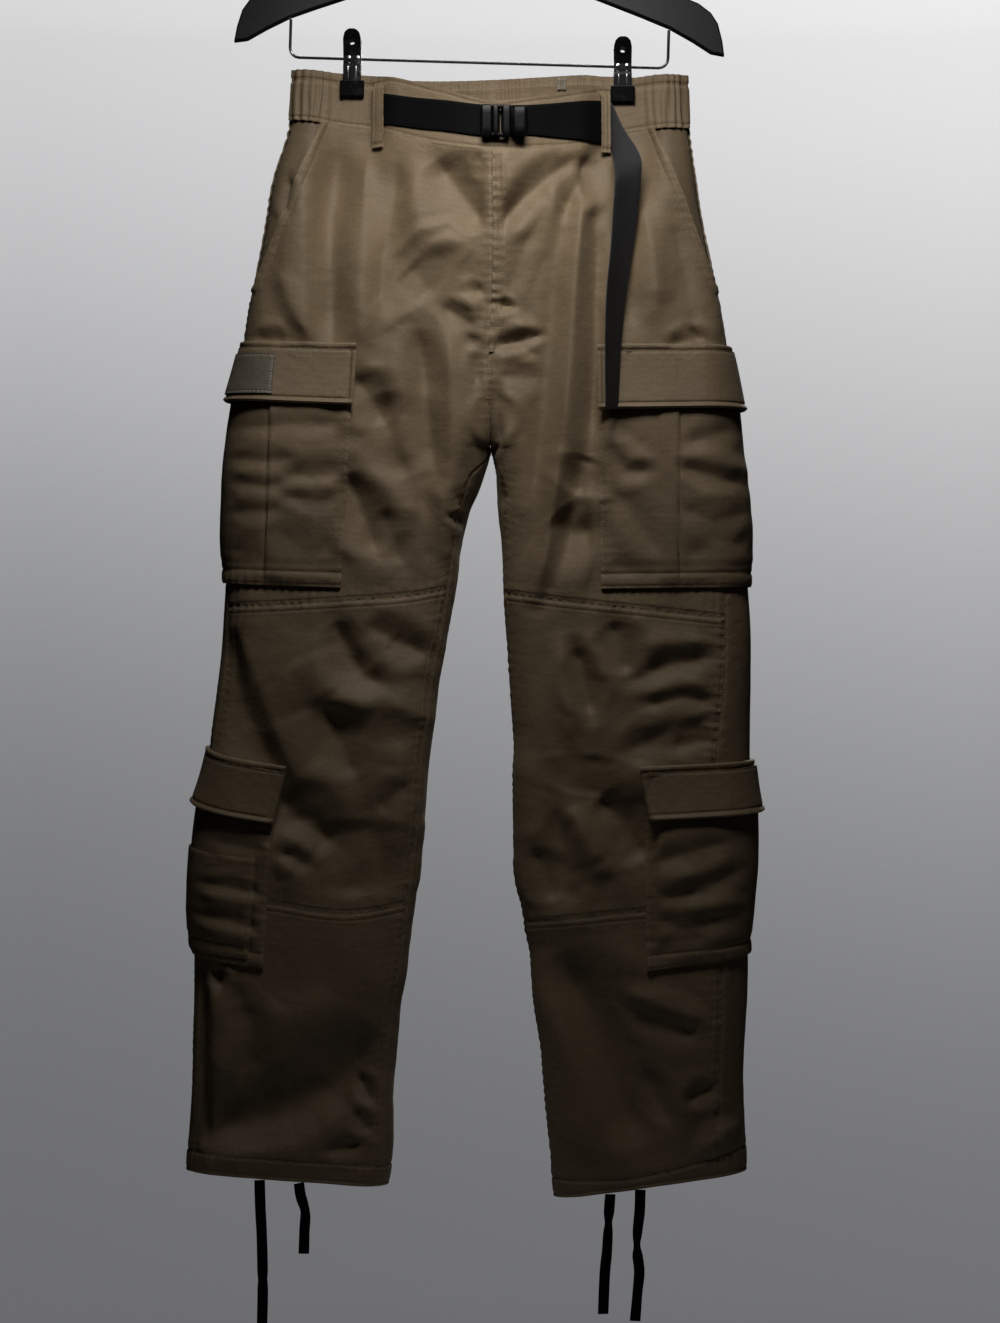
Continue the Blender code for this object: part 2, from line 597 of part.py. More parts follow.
def make_legs():
    for side in HALVES:
        panel(f"front_{side}", side, HIP_ROWS, PANEL_COLUMNS, inseam_turn, mouth_turn)
        panel(f"hip_facing_{side}", side, MOUTH_ROWS, FACING_COLUMNS, mouth_turn, outseam_turn)
        panel(f"knee_{side}", side, KNEE_ROWS, PANEL_COLUMNS, inseam_turn, outseam_turn)
        panel(f"shin_{side}", side, SHIN_ROWS, PANEL_COLUMNS, inseam_turn, outseam_turn)
        seat_levels = [level for level in HIP_ROWS if level <= SEAT_BOTTOM]
        thigh_levels = [level for level in HIP_ROWS if level >= SEAT_BOTTOM]
        calf_levels = KNEE_ROWS + SHIN_ROWS[1:]
        panel(f"back_{side}", side, seat_levels, BACK_COLUMNS, rear_start, rear_end, front=False)
        panel(f"back_thigh_{side}", side, thigh_levels, BACK_COLUMNS, rear_start, rear_end, front=False)
        panel(f"back_calf_{side}", side, calf_levels, BACK_COLUMNS, rear_start, rear_end, front=False)
        hem = []
        for level in (HEM_SEAM_LEVEL, HEM_LEVEL):
            shift = GAP if level == HEM_SEAM_LEVEL else 0.0
            turns = [2.0 * column / HEM_COLUMNS for column in range(HEM_COLUMNS)]
            hem.append([(side, turn, warp(side, turn, level, True) + shift) for turn in turns])
        cloth(f"hem_band_{side}", "cloth", hem, HEM_PROUD - BAND, HEM_PROUD, ring=True)


# A spot of the waistband, "part" of the way from its upper edge down to its seam.
def band_spot(side, turn, part):
    x = surface(side, turn, BAND_LEVEL).x
    names = ("top_front", "seam_front") if turn <= 1.0 else ("top_back", "seam_back")
    top = read(WAIST, "x", names[0], x)
    seam = read(WAIST, "x", names[1], x) - WAIST_GAP / 2
    return side, turn, top + (seam - top) * part


# A stretch of waistband. Gathers are raised in its outer face over a plain inside.
def band(name, side, first, last, columns, gathers):
    spots = []
    for row in range(4):
        turns = [first + (last - first) * column / columns for column in range(columns + 1)]
        spots.append([band_spot(side, turn, row / 3) for turn in turns])
    inner = [[lifted(*spot, BAND_OUTER - BAND) for spot in row] for row in spots]
    outer = []
    for row in spots:
        line = []
        for column, spot in enumerate(row):
            x = surface(*spot).x
            ridge = GATHER * (column % 2) * (1.0 - pinch(x, WAIST_LEVEL)) if gathers else 0.0
            line.append(lifted(*spot, BAND_OUTER + ridge))
        outer.append(line)
    wall(name, "cloth", outer, inner)


def make_waistband():
    for side in HALVES:
        loop = LOOPS[side].x
        front_edge = turn_at(side, loop, BAND_LEVEL)
        back_edge = 2.0 - turn_at(side, BACK_BAND_X[side], BAND_LEVEL)
        start = off_seam(side, 0.0, BAND_LEVEL, 1)
        band(f"waistband_front_{side}", side, start, front_edge, BAND_FRONT_COLUMNS, False)
        after = off_seam(side, off_seam(side, front_edge, BAND_LEVEL, 1), BAND_LEVEL, 1)
        band(f"waistband_side_{side}", side, after, back_edge, BAND_SIDE_COLUMNS, True)
        after = off_seam(side, off_seam(side, back_edge, BAND_LEVEL, 1), BAND_LEVEL, 1)
        band(f"waistband_back_{side}", side, after, BACK_END, BAND_BACK_COLUMNS, True)


# The place on the front at x and drop.
def front_spot(x, drop):
    middle = half_row("left", drop).inner
    side = "left" if x < middle else "right"
    return side, turn_at(side, x, drop), drop


def make_belt():
    for name, table in (("belt_left", BELT_LEFT), ("belt_right", BELT_RIGHT)):
        first, last = table[0].x, table[-1].x
        low, high = [], []
        for row in range(3):
            low.append([])
            high.append([])
            for column in range(11):
                x = first + (last - first) * column / 10
                top = read(table, "x", "top", x)
                drop = top + (read(table, "x", "bottom", x) - top) * row / 2
                lift = BAND_OUTER + read(table, "x", "lift", x)
                low[row].append(lifted(*front_spot(x, drop), lift))
                high[row].append(lifted(*front_spot(x, drop), lift + WEBBING))
        wall(name, "webbing", high, low)
    last = BELT_RIGHT[-1]
    edges = []
    for drop in (last.bottom, last.top):
        start = lifted(*front_spot(last.x, drop), BAND_OUTER + last.lift + WEBBING / 2)
        edges.append([start + Vector((2 * GAP, 0.0, 0.0))])
    for row in BELT_TAIL:
        edges[0].append(Vector((row.x1, row.y1, -row.drop1)))
        edges[1].append(Vector((row.x2, row.y2, -row.drop2)))
    front, rear = [], []
    for index in range(len(edges[0])):
        edge1, edge2 = edges[0][index], edges[1][index]
        ahead = min(index + 1, len(edges[0]) - 1)
        behind = max(index - 1, 0)
        run = edges[0][ahead] + edges[1][ahead] - edges[0][behind] - edges[1][behind]
        face = (edge2 - edge1).cross(run).normalized() * WEBBING / 2
        if index == 0:
            face = Vector((0.0, -WEBBING / 2, 0.0))
        front.append([edge1 + face, (edge1 + edge2) / 2 + face, edge2 + face])
        rear.append([edge1 - face, (edge1 + edge2) / 2 - face, edge2 - face])
    wall("belt_tail", "webbing", front, rear)


def make_loops():
    for side, loop in LOOPS.items():
        belt = BELT_LEFT if side == "left" else BELT_RIGHT
        over = read(belt, "x", "top", loop.x) - LOOP_EASE
        under = read(belt, "x", "bottom", loop.x) + LOOP_EASE
        seat = BAND_OUTER + LOOP_SEAT
        low_seat = seat + LOOP_LOW_SEAT
        raised = BAND_OUTER + read(belt, "x", "lift", loop.x + LOOP_WIDTH / 2) + WEBBING + 2 * GAP
        rows = [(loop.top, seat), (over - LOOP_EASE, seat), (over, raised), ((over + under) / 2, raised + GAP),
                (under, raised), ((under + loop.bottom) / 2, low_seat), (loop.bottom, low_seat)]
        low, high = [], []
        for drop, lift in rows:
            across = [loop.x - LOOP_WIDTH / 2, loop.x, loop.x + LOOP_WIDTH / 2]
            low.append([lifted(*front_spot(x, drop), lift) for x in across])
            high.append([lifted(*front_spot(x, drop), lift + LOOP_CLOTH) for x in across])
        wall(f"belt_loop_{side}", "cloth", high, low)


# Where a patch's point lies: "along" runs 0 to 1 over the front and 1 to 2 round the back.
def patch_spot(patch, side, along, down):
    front_x = patch.front_x + (patch.front_low_x - patch.front_x) * down
    back_x = patch.back_x + (patch.back_low_x - patch.back_x) * down
    if along <= 1.0:
        top = patch.front_top + (patch.side_top - patch.front_top) * along
        low = patch.front_low + (patch.side_low - patch.front_low) * along
        drop = top + (low - top) * down
        start = turn_at(side, front_x, drop)
        return side, start + (1.0 - start) * along, drop
    top = patch.side_top + (patch.back_top - patch.side_top) * (along - 1.0)
    low = patch.side_low + (patch.back_low - patch.side_low) * (along - 1.0)
    drop = top + (low - top) * down
    end = 2.0 - turn_at(side, back_x, drop)
    return side, 1.0 + (end - 1.0) * (along - 1.0), drop


# How far a pocket's bag stands off the leg, flat at its edges and full in its middle.
def bag_lift(patch, along, down):
    full = math.sin(math.pi * min(max(along / 2.0, 0.0), 1.0)) ** 0.7
    full *= math.sin(math.pi * min(max(down, 0.0), 1.0)) ** 0.8
    return patch.lift + patch.puff * full


def patch_wall(name, kind, patch, side, lift, thick):
    low, high = [], []
    for row in range(patch.rows + 1):
        down = row / patch.rows
        alongs = [2.0 * column / patch.columns for column in range(patch.columns + 1)]
        spots = [patch_spot(patch, side, along, down) for along in alongs]
        lifts = [lift(along, down, spot) for along, spot in zip(alongs, spots)]
        low.append([lifted(*spot, height) for spot, height in zip(spots, lifts)])
        high.append([lifted(*spot, height + thick) for spot, height in zip(spots, lifts)])
    wall(name, kind, high, low)


# A spot's place on a patch, the reverse of patch_spot.
def place_on(patch, spot):
    side, turn, drop = spot
    along, down = 1.0, 0.5
    for _ in range(4):
        top = patch_spot(patch, side, along, 0.0)[2]
        low = patch_spot(patch, side, along, 1.0)[2]
        down = (drop - top) / (low - top)
        front_x = patch.front_x + (patch.front_low_x - patch.front_x) * down
        back_x = patch.back_x + (patch.back_low_x - patch.back_x) * down
        start = turn_at(side, front_x, drop)
        end = 2.0 - turn_at(side, back_x, drop)
        along = (turn - start) / (1.0 - start) if turn <= 1.0 else 1.0 + (turn - 1.0) / (end - 1.0)
        along = min(max(along, 0.0), 2.0)
    return along, min(max(down, 0.0), 1.0)


# The lift of a bag's outer face, and of the flap that covers it.
def bag_out(pocket, spot):
    return bag_lift(pocket, *place_on(pocket, spot)) + CLOTH


def flap_out(flap, pocket, spot):
    down = place_on(flap, spot)[1]
    return bag_out(pocket, spot) + FLAP_COVER + FLAP_FLARE * down * down


def make_pockets():
    for (kind, side), pocket in POCKETS.items():
        patch_wall(f"{kind}_{side}", "cloth", pocket, side, lambda a, d, s: bag_lift(pocket, a, d), CLOTH)
    for (kind, side), flap in FLAPS.items():
        pocket = POCKETS[kind.replace("flap", "pocket"), side]
        patch_wall(f"{kind}_{side}", "cloth", flap, side, lambda a, d, s: flap_out(flap, pocket, s) - CLOTH,
                   CLOTH)
        shift = WELT_HEIGHT + 2 * GAP
        welt = flap._replace(
            front_top=flap.front_top - shift, side_top=flap.side_top - shift, back_top=flap.back_top - shift,
            front_low=flap.front_top - 2 * GAP, side_low=flap.side_top - 2 * GAP,
            back_low=flap.back_top - 2 * GAP, front_low_x=flap.front_x, back_low_x=flap.back_x, rows=1)
        patch_wall(f"{kind.replace('flap', 'welt')}_{side}", "cloth", welt, side, lambda a, d, s: WELT_LIFT,
                   WELT_THICK)
    calf = POCKETS["calf_pocket", "left"]
    patch_wall("calf_patch_left", "cloth", CALF_PATCH, "left", lambda a, d, s: bag_out(calf, s) + ON_PATCH,
               LOOP_CLOTH)
    thigh = POCKETS["thigh_pocket", "left"]
    flap = FLAPS["thigh_flap", "left"]
    patch_wall("flap_label", "label", FLAP_LABEL, "left", lambda a, d, s: flap_out(flap, thigh, s) + ON_PATCH,
               LABEL_CLOTH)


def make_placket():
    low, high = [], []
    for row in range(9):
        part = row / 8
        low.append([])
        high.append([])
        for column in range(3):
            level = WAIST_LEVEL + (PLACKET_BOTTOM - WAIST_LEVEL) * part
            x = half_row("right", level).inner + 0.0004 + PLACKET_WIDTH * column / 2
            turn = turn_at("right", x, level)
            drop = warp("right", turn, level, True) + PLACKET_BELOW_BAND * (1.0 - part)
            low[row].append(lifted("right", turn, drop, PLACKET_SEAT))
            high[row].append(lifted("right", turn, drop, PLACKET_SEAT + LOOP_CLOTH))
    wall("fly_placket", "cloth", high, low)


def make_waist_label():
    low, high = [], []
    inside = BAND_OUTER - BAND - GAP
    for part in (0.0, 0.5, 1.0):
        drop = WAIST_LABEL_TOP + WAIST_LABEL_LENGTH * part
        spots = [("right", 2.0 - turn_at("right", x, drop), drop) for x in WAIST_LABEL_X]
        high.append([lifted(*spot, inside) for spot in spots])
        low.append([lifted(*spot, inside - LABEL_CLOTH) for spot in spots])
    wall("waist_label", "label", high, low)


def bevelled(item, width):
    bevel = item.modifiers.new("Bevel", "BEVEL")
    bevel.width = width
    bevel.segments = 2
    return item


def block(name, size, location):
    bpy.ops.mesh.primitive_cube_add(size=1.0, location=location)
    item = bpy.context.active_object
    item.name = name
    item.data.transform(Matrix.Diagonal((*size, 1.0)))
    return item


# Cuts a tool's shape out of an item and puts the tool away with the cutters.
def cut(item, tool):
    for holder in list(tool.users_collection):
        holder.objects.unlink(tool)
    cutters.objects.link(tool)
    tool.hide_render = True
    tool.display_type = "WIRE"
    hole = item.modifiers.new("Hole", "BOOLEAN")
    hole.operation = "DIFFERENCE"
    hole.object = tool


# A wire or tape along points, as a curve with filled ends.
def tube(name, kind, points, radius, parent=None):
    curve = bpy.data.curves.new(name, "CURVE")
    curve.dimensions = "3D"
    curve.bevel_depth = radius
    curve.bevel_resolution = 2
    curve.use_fill_caps = True
    spline = curve.splines.new("POLY")
    spline.points.add(len(points) - 1)
    for spot, point in zip(spline.points, points):
        spot.co = (*point, 1.0)
    item = keep(bpy.data.objects.new(name, curve), kind)
    item.parent = parent
    return item


def make_buckle():
    place = lifted(*front_spot(BUCKLE_X, BUCKLE_DROP), BAND_OUTER + BELT_LEFT[-1].lift + WEBBING)
    above = lifted(*front_spot(BUCKLE_X, BUCKLE_DROP - 0.010), 0.0)
    below = lifted(*front_spot(BUCKLE_X, BUCKLE_DROP + 0.010), 0.0)
    lean = math.atan2(above.y - below.y, above.z - below.z)
    stand = place.y - BUCKLE_SEAT - BUCKLE_DEPTH / 2
    frame_width = BUCKLE_WIDTH * BUCKLE_FRAME_SHARE
    frame_x = BUCKLE_X - BUCKLE_WIDTH / 2 + frame_width / 2
    frame = block("buckle_frame", (frame_width, BUCKLE_DEPTH, BUCKLE_HEIGHT), (frame_x, stand, -BUCKLE_DROP))
    frame.rotation_euler.x = -lean
    bevelled(frame, 0.0015)
    for slot_x in BUCKLE_SLOTS:
        tool = block("slot_cutter", (BUCKLE_SLOT, BUCKLE_DEPTH * 3, BUCKLE_HEIGHT - 0.008),
                     (slot_x, stand, -BUCKLE_DROP))
        tool.rotation_euler.x = -lean
        cut(frame, tool)
    keep(frame, "plastic")
    cap_width = BUCKLE_WIDTH - frame_width - GAP
    cap_x = BUCKLE_X + BUCKLE_WIDTH / 2 - cap_width / 2
    cap_depth = BUCKLE_DEPTH + BUCKLE_CAP_PROUD
    cap = block("buckle_cap", (cap_width, cap_depth, BUCKLE_HEIGHT),
                (cap_x, stand - BUCKLE_CAP_PROUD / 2, -BUCKLE_DROP))
    cap.rotation_euler.x = -lean
    bevelled(cap, BUCKLE_CAP_ROUND)
    keep(cap, "plastic")


def make_cords():
    for name, route in CORDS.items():
        spots = [Vector((x, y, -drop)) for x, y, drop in route]
        points = []
        for index in range(len(spots) - 1):
            before = spots[max(index - 1, 0)]
            after = spots[min(index + 2, len(spots) - 1)]
            start, end = spots[index], spots[index + 1]
            steps = max(1, round((end - start).length / CORD_STEP))
            for step in range(steps):
                t = step / steps
                bend = 2 * before - 5 * start + 4 * end - after
                turn = 3 * start - before - 3 * end + after
                points.append(0.5 * (2 * start + (end - before) * t + bend * t * t + turn * t ** 3))
        points.append(spots[-1])
        tube(name, "webbing", points, CORD_DIAMETER / 2)


def make_hanger():
    tilt = bpy.data.objects.new("hanger_tilt", None)
    tilt.rotation_euler.y = HANGER_TILT
    collection.objects.link(tilt)
    half = SHOULDER_TOP + SHOULDER_LOW
    mirrored = [Outline(-spot.x, spot.drop) for spot in reversed(half[1:-1])]
    outline = half + mirrored
    curve = bpy.data.curves.new("hanger_shoulders", "CURVE")
    curve.dimensions = "2D"
    curve.fill_mode = "BOTH"
    curve.extrude = SHOULDER_THICK / 2 - SHOULDER_EDGE
    curve.bevel_depth = SHOULDER_EDGE
    curve.bevel_resolution = 0
    curve.offset = -SHOULDER_EDGE
    spline = curve.splines.new("POLY")
    spline.points.add(len(outline) - 1)
    for spot, place in zip(spline.points, outline):
        spot.co = (place.x, -place.drop, 0.0, 1.0)
    spline.use_cyclic_u = True
    shoulders = keep(bpy.data.objects.new("hanger_shoulders", curve), "plastic")
    shoulders.parent = tilt
    shoulders.rotation_euler.x = math.pi / 2

    middle = -(HOOK_RADIUS - HOOK_WIRE)
    hook = []
    for degrees in range(200, -46, -15):
        angle = math.radians(degrees)
        hook.append(Vector((HOOK_RADIUS * math.cos(angle), 0.0, middle + HOOK_RADIUS * math.sin(angle))))
    start = hook[-1]
    bend = Vector((0.0, 0.0, start.z - start.x))
    stem = Vector((0.0, 0.0, -HOOK_STEM))
    for step in range(1, 7):
        t = step / 6
        hook.append((1 - t) ** 2 * start + 2 * t * (1 - t) * bend + t * t * stem)
    hook.append(Vector((0.0, 0.0, -SHOULDER_TOP[0].drop + GAP)))
    tube("hanger_hook", "wire", hook, HOOK_WIRE, tilt)

    bar = [(-BAR_HALF, 0.0, -BAR_TOP)]
    for step in range(5):
        angle = math.radians(180.0 + 22.5 * step)
        bar.append((-BAR_HALF + BAR_CORNER + BAR_CORNER * math.cos(angle), 0.0,
                    -BAR_DROP + BAR_CORNER + BAR_CORNER * math.sin(angle)))
    bar += [(-x, y, z) for x, y, z in reversed(bar)]
    tube("hanger_bar", "wire", bar, BAR_WIRE, tilt)


def make_clips():
    for side, clip in CLIPS.items():
        along = clip.x / math.cos(HANGER_TILT) + BAR_DROP * math.sin(HANGER_TILT)
        bar = BAR_DROP * math.cos(HANGER_TILT) + along * math.sin(HANGER_TILT)
        pad_y = PINCHED + BAND_OUTER + PAD_CLEAR + PAD_THICK / 2
        top = bar - JAW_RISE
        low = clip.pad - PAD_HEIGHT / 2 - GAP
        gripped = bar + JAW_GRIP
        settled = bar + JAW_SETTLED
        drops = [top + below for below in JAW_ROUND] + [top + JAW_WIDTH / 2, (top + bar) / 2 + JAW_GRIP]
        drops += [bar - JAW_GRIP, gripped, settled, low]
        near = BAR_WIRE + GAP + JAW_THICK / 2
        for face, way in (("front", -1.0), ("back", 1.0)):
            out_grid, in_grid = [], []
            for drop in drops:
                flare = max((bar - JAW_GRIP - drop) / (JAW_RISE - JAW_GRIP), 0.0)
                settle = min(max((drop - gripped) / (settled - gripped), 0.0), 1.0)
                y = near + JAW_FLARE * flare ** 1.3 + (pad_y - near) * settle
                rounding = min(drop - top + 0.0004, JAW_WIDTH / 2)
                half_width = math.sqrt((JAW_WIDTH / 2) ** 2 - (JAW_WIDTH / 2 - rounding) ** 2)
                xs = [clip.x - half_width, clip.x, clip.x + half_width]
                out_grid.append([Vector((x, way * (y + JAW_THICK / 2), -drop)) for x in xs])
                in_grid.append([Vector((x, way * (y - JAW_THICK / 2), -drop)) for x in xs])
            jaw = wall(f"clip_{side}_{face}_jaw", "metal", out_grid, in_grid)
            hole = (clip.x, way * (near + JAW_FLARE / 2), -top - JAW_HOLE_DROP)
            bpy.ops.mesh.primitive_cylinder_add(vertices=16, radius=JAW_HOLE, depth=JAW_FLARE, location=hole,
                                                rotation=(math.pi / 2, 0.0, 0.0))
            cut(jaw, bpy.context.active_object)
            pad = block(f"clip_{side}_{face}_pad", (PAD_WIDTH, PAD_THICK, PAD_HEIGHT),
                        (clip.x, way * pad_y, -clip.pad))
            bevelled(pad, 0.001)
            keep(pad, "plastic")


make_legs()
make_waistband()
make_belt()
make_loops()
make_pockets()
make_placket()
make_waist_label()
make_buckle()
make_cords()
make_hanger()
make_clips()
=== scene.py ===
import math
import bmesh
import bpy
import numpy as np
from mathutils import Matrix, Vector, noise
from mathutils.bvhtree import BVHTree


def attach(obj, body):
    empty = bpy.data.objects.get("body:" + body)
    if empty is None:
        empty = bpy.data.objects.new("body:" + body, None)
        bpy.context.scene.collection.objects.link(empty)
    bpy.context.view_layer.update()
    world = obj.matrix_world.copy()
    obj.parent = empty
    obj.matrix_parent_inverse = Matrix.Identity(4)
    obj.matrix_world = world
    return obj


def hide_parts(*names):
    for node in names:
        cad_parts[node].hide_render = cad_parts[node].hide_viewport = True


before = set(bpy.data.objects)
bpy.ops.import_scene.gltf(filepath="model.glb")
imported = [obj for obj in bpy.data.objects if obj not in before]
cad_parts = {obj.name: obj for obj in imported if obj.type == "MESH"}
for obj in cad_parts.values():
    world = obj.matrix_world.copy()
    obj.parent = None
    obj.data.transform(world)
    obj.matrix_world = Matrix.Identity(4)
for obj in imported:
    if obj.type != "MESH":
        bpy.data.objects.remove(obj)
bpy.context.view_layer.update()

# Cargo pants on a clip hanger. Metres, +Z up, the front faces -Y. "drop" is a distance below the
# hook's rest point, left and right are as seen from the front.

scene = bpy.context.scene
scene.view_settings.view_transform = "Standard"

camera = {
    "place": (0.01425, -2.6, -0.77045),
    "lens": 74.5,
    "sensor": 36.0,
}
cameraData = bpy.data.cameras.new("camera")
cameraData.lens = camera["lens"]
cameraData.sensor_width = camera["sensor"]
cameraObject = bpy.data.objects.new("camera", cameraData)
cameraObject.location = camera["place"]
cameraObject.rotation_euler = (math.radians(90.0), 0.0, 0.0)
scene.collection.objects.link(cameraObject)
scene.camera = cameraObject

studio = {
    "floorLevel": -1.62,
    "floorSides": 96,
    # each ring of the floor: radius and rise
    "floorRings": ((0.020, 0.000), (0.768, 0.000), (0.780, -0.006), (0.780, -0.020)),
    "floorColour": (0.64, 0.64, 0.65),
    "floorRough": 0.8,
    # name: place, aimed at, size, watts, spread in degrees, colour
    "lamps": {
        "top_key": ((0.02, -0.44, 0.06), (0.01, 0.0, -0.44), (0.32, 0.20), 0.80, 78, (1.0, 0.985, 0.96)),
        "front_fill": ((0.60, -1.9, 0.35), (0.0, 0.0, -0.45), (1.0, 0.7), 0.07, 120, (0.98, 0.98, 1.0)),
        "rear_fill": ((0.30, 1.7, 0.30), (0.0, 0.0, -0.70), (1.2, 0.9), 12.0, 150, (1.0, 0.99, 0.98)),
    },
    "fillLight": (0.0018, 0.0016, 0.0014),
    # the wall seen behind the pants: how far it runs to each side and up and down from the middle
    "wallHalf": {"X": 0.165, "Z": 0.24},
    # height on the wall, colour to the left, colour to the right; these colours are painted light, brighter towards
    # the top and the right
    "wall": [
        (0.029, (0.146, 0.147, 0.156), (0.160, 0.161, 0.170)),
        (0.240, (0.164, 0.166, 0.176), (0.202, 0.204, 0.214)),
        (0.471, (0.230, 0.232, 0.242), (0.332, 0.334, 0.344)),
        (0.699, (0.412, 0.414, 0.424), (0.548, 0.548, 0.556)),
        (0.958, (0.690, 0.690, 0.698), (0.850, 0.850, 0.856)),
    ],
}


def makeStudio():
    for name, (place, aim, size, watts, spread, colour) in studio["lamps"].items():
        lamp = bpy.data.lights.new(name, "AREA")
        lamp.shape = "RECTANGLE"
        lamp.spread = math.radians(spread)
        lamp.size, lamp.size_y = size
        lamp.energy = watts
        lamp.color = colour
        holder = bpy.data.objects.new(name, lamp)
        holder.location = place
        holder.rotation_euler = (Vector(aim) - Vector(place)).to_track_quat("-Z", "Y").to_euler()
        scene.collection.objects.link(holder)
    form = bmesh.new()
    rim = studio["floorSides"]
    turns = [2 * math.pi * i / rim for i in range(rim)]
    rings = [[form.verts.new((radius * math.cos(turn), radius * math.sin(turn), studio["floorLevel"] + rise))
              for turn in turns] for radius, rise in studio["floorRings"]]
    form.faces.new(rings[0])
    for inner, outer in zip(rings[:-1], rings[1:]):
        for i in range(rim):
            form.faces.new((inner[i], outer[i], outer[(i + 1) % rim], inner[(i + 1) % rim]))
    mesh = bpy.data.meshes.new("floor")
    form.to_mesh(mesh)
    form.free()
    material = bpy.data.materials.new("pale floor")
    material.use_nodes = True
    shader = material.node_tree.nodes["Principled BSDF"]
    shader.inputs["Base Color"].default_value = (*studio["floorColour"], 1.0)
    shader.inputs["Roughness"].default_value = studio["floorRough"]
    mesh.materials.append(material)
    floor = bpy.data.objects.new("floor", mesh)
    scene.collection.objects.link(floor)
    # the room: an even soft fill for light, and behind the pants a wall with painted light, bright at the top and the
    # right and painted darker towards the bottom and the left
    world = bpy.data.worlds.new("room")
    scene.world = world
    world.use_nodes = True
    nodes, links = world.node_tree.nodes, world.node_tree.links
    nodes.clear()
    place = nodes.new("ShaderNodeTexCoord")
    split = nodes.new("ShaderNodeSeparateXYZ")
    links.new(place.outputs["Generated"], split.inputs[0])
    shares = {}
    for axis, half in studio["wallHalf"].items():
        share = nodes.new("ShaderNodeMapRange")
        share.inputs["From Min"].default_value, share.inputs["From Max"].default_value = -half, half
        links.new(split.outputs[axis], share.inputs["Value"])
        shares[axis] = share.outputs["Result"]
    ramps = []
    for column in (1, 2):
        ramp = nodes.new("ShaderNodeValToRGB")
        ramp.color_ramp.interpolation = "B_SPLINE"
        stops = ramp.color_ramp.elements
        for index, row in enumerate(studio["wall"]):
            stop = stops[index] if index < 2 else stops.new(row[0])
            stop.position = row[0]
            stop.color = (*row[column], 1.0)
        links.new(shares["Z"], ramp.inputs["Fac"])
        ramps.append(ramp)
    blend = nodes.new("ShaderNodeMix")
    blend.data_type = "RGBA"
    links.new(shares["X"], blend.inputs["Factor"])
    links.new(ramps[0].outputs["Color"], blend.inputs["A"])
    links.new(ramps[1].outputs["Color"], blend.inputs["B"])
    wall, fill = nodes.new("ShaderNodeBackground"), nodes.new("ShaderNodeBackground")
    links.new(blend.outputs["Result"], wall.inputs["Color"])
    fill.inputs["Color"].default_value = (*studio["fillLight"], 1.0)
    ray, either, out = (nodes.new(kind) for kind in ("ShaderNodeLightPath", "ShaderNodeMixShader",
                                                     "ShaderNodeOutputWorld"))
    links.new(ray.outputs["Is Camera Ray"], either.inputs["Fac"])
    links.new(fill.outputs[0], either.inputs[1])
    links.new(wall.outputs[0], either.inputs[2])
    links.new(either.outputs[0], out.inputs["Surface"])
    print("studio done")


makeStudio()


# Small helpers on whole arrays of points.
def smooth(value):
    value = np.clip(value, 0.0, 1.0)
    return value * value * (3.0 - 2.0 * value)


# One column of a table at the keys "at", on a curve through the table's rows.
def readTable(keys, values, at):
    keys = np.asarray(keys, float)
    values = np.asarray(values, float)
    at = np.clip(at, keys[0], keys[-1])
    index = np.clip(np.searchsorted(keys, at, side="left") - 1, 0, len(keys) - 2)
    before = np.maximum(index - 1, 0)
    after = np.minimum(index + 2, len(keys) - 1)
    span = keys[index + 1] - keys[index]
    part = (at - keys[index]) / span
    slopeA = (values[index + 1] - values[before]) / (keys[index + 1] - keys[before]) * span
    slopeB = (values[after] - values[index]) / (keys[after] - keys[index]) * span
    return ((2 * part ** 3 - 3 * part ** 2 + 1) * values[index] + (part ** 3 - 2 * part ** 2 + part) * slopeA
            + (3 * part ** 2 - 2 * part ** 3) * values[index + 1] + (part ** 3 - part ** 2) * slopeB)


# The same for a whole table, whose first column holds the keys.
def readColumn(table, column, at):
    return readTable(table[:, 0], table[:, column], at)


# A hump that is 1 on a line and falls off on both sides of it.
def hump(value, line, width):
    return np.exp(-((value - line) / width) ** 2)


# Ridges and grooves along an edge, each a height, a distance from the edge and a width.
def profile(away, humps):
    return sum(height * hump(away, line, width) for height, line, width in humps)


# Two arrays over a grid of points: one runs down its rows, one along its columns.
def spread(down, across, rows, columns):
    return np.meshgrid(np.linspace(*down, rows), np.linspace(*across, columns), indexing="ij")


# Soft uneven values between -1 and 1, the same on every run.
def unevenness(points, scale, seed=0.0, stretch=(1.0, 1.0, 1.0)):
    flat = points.reshape(-1, 3) * np.array(stretch) * scale
    found = [noise.noise(Vector((p[0] + seed, p[1] - seed, p[2] + 2.0 * seed))) for p in flat]
    return np.array(found).reshape(points.shape[:-1])


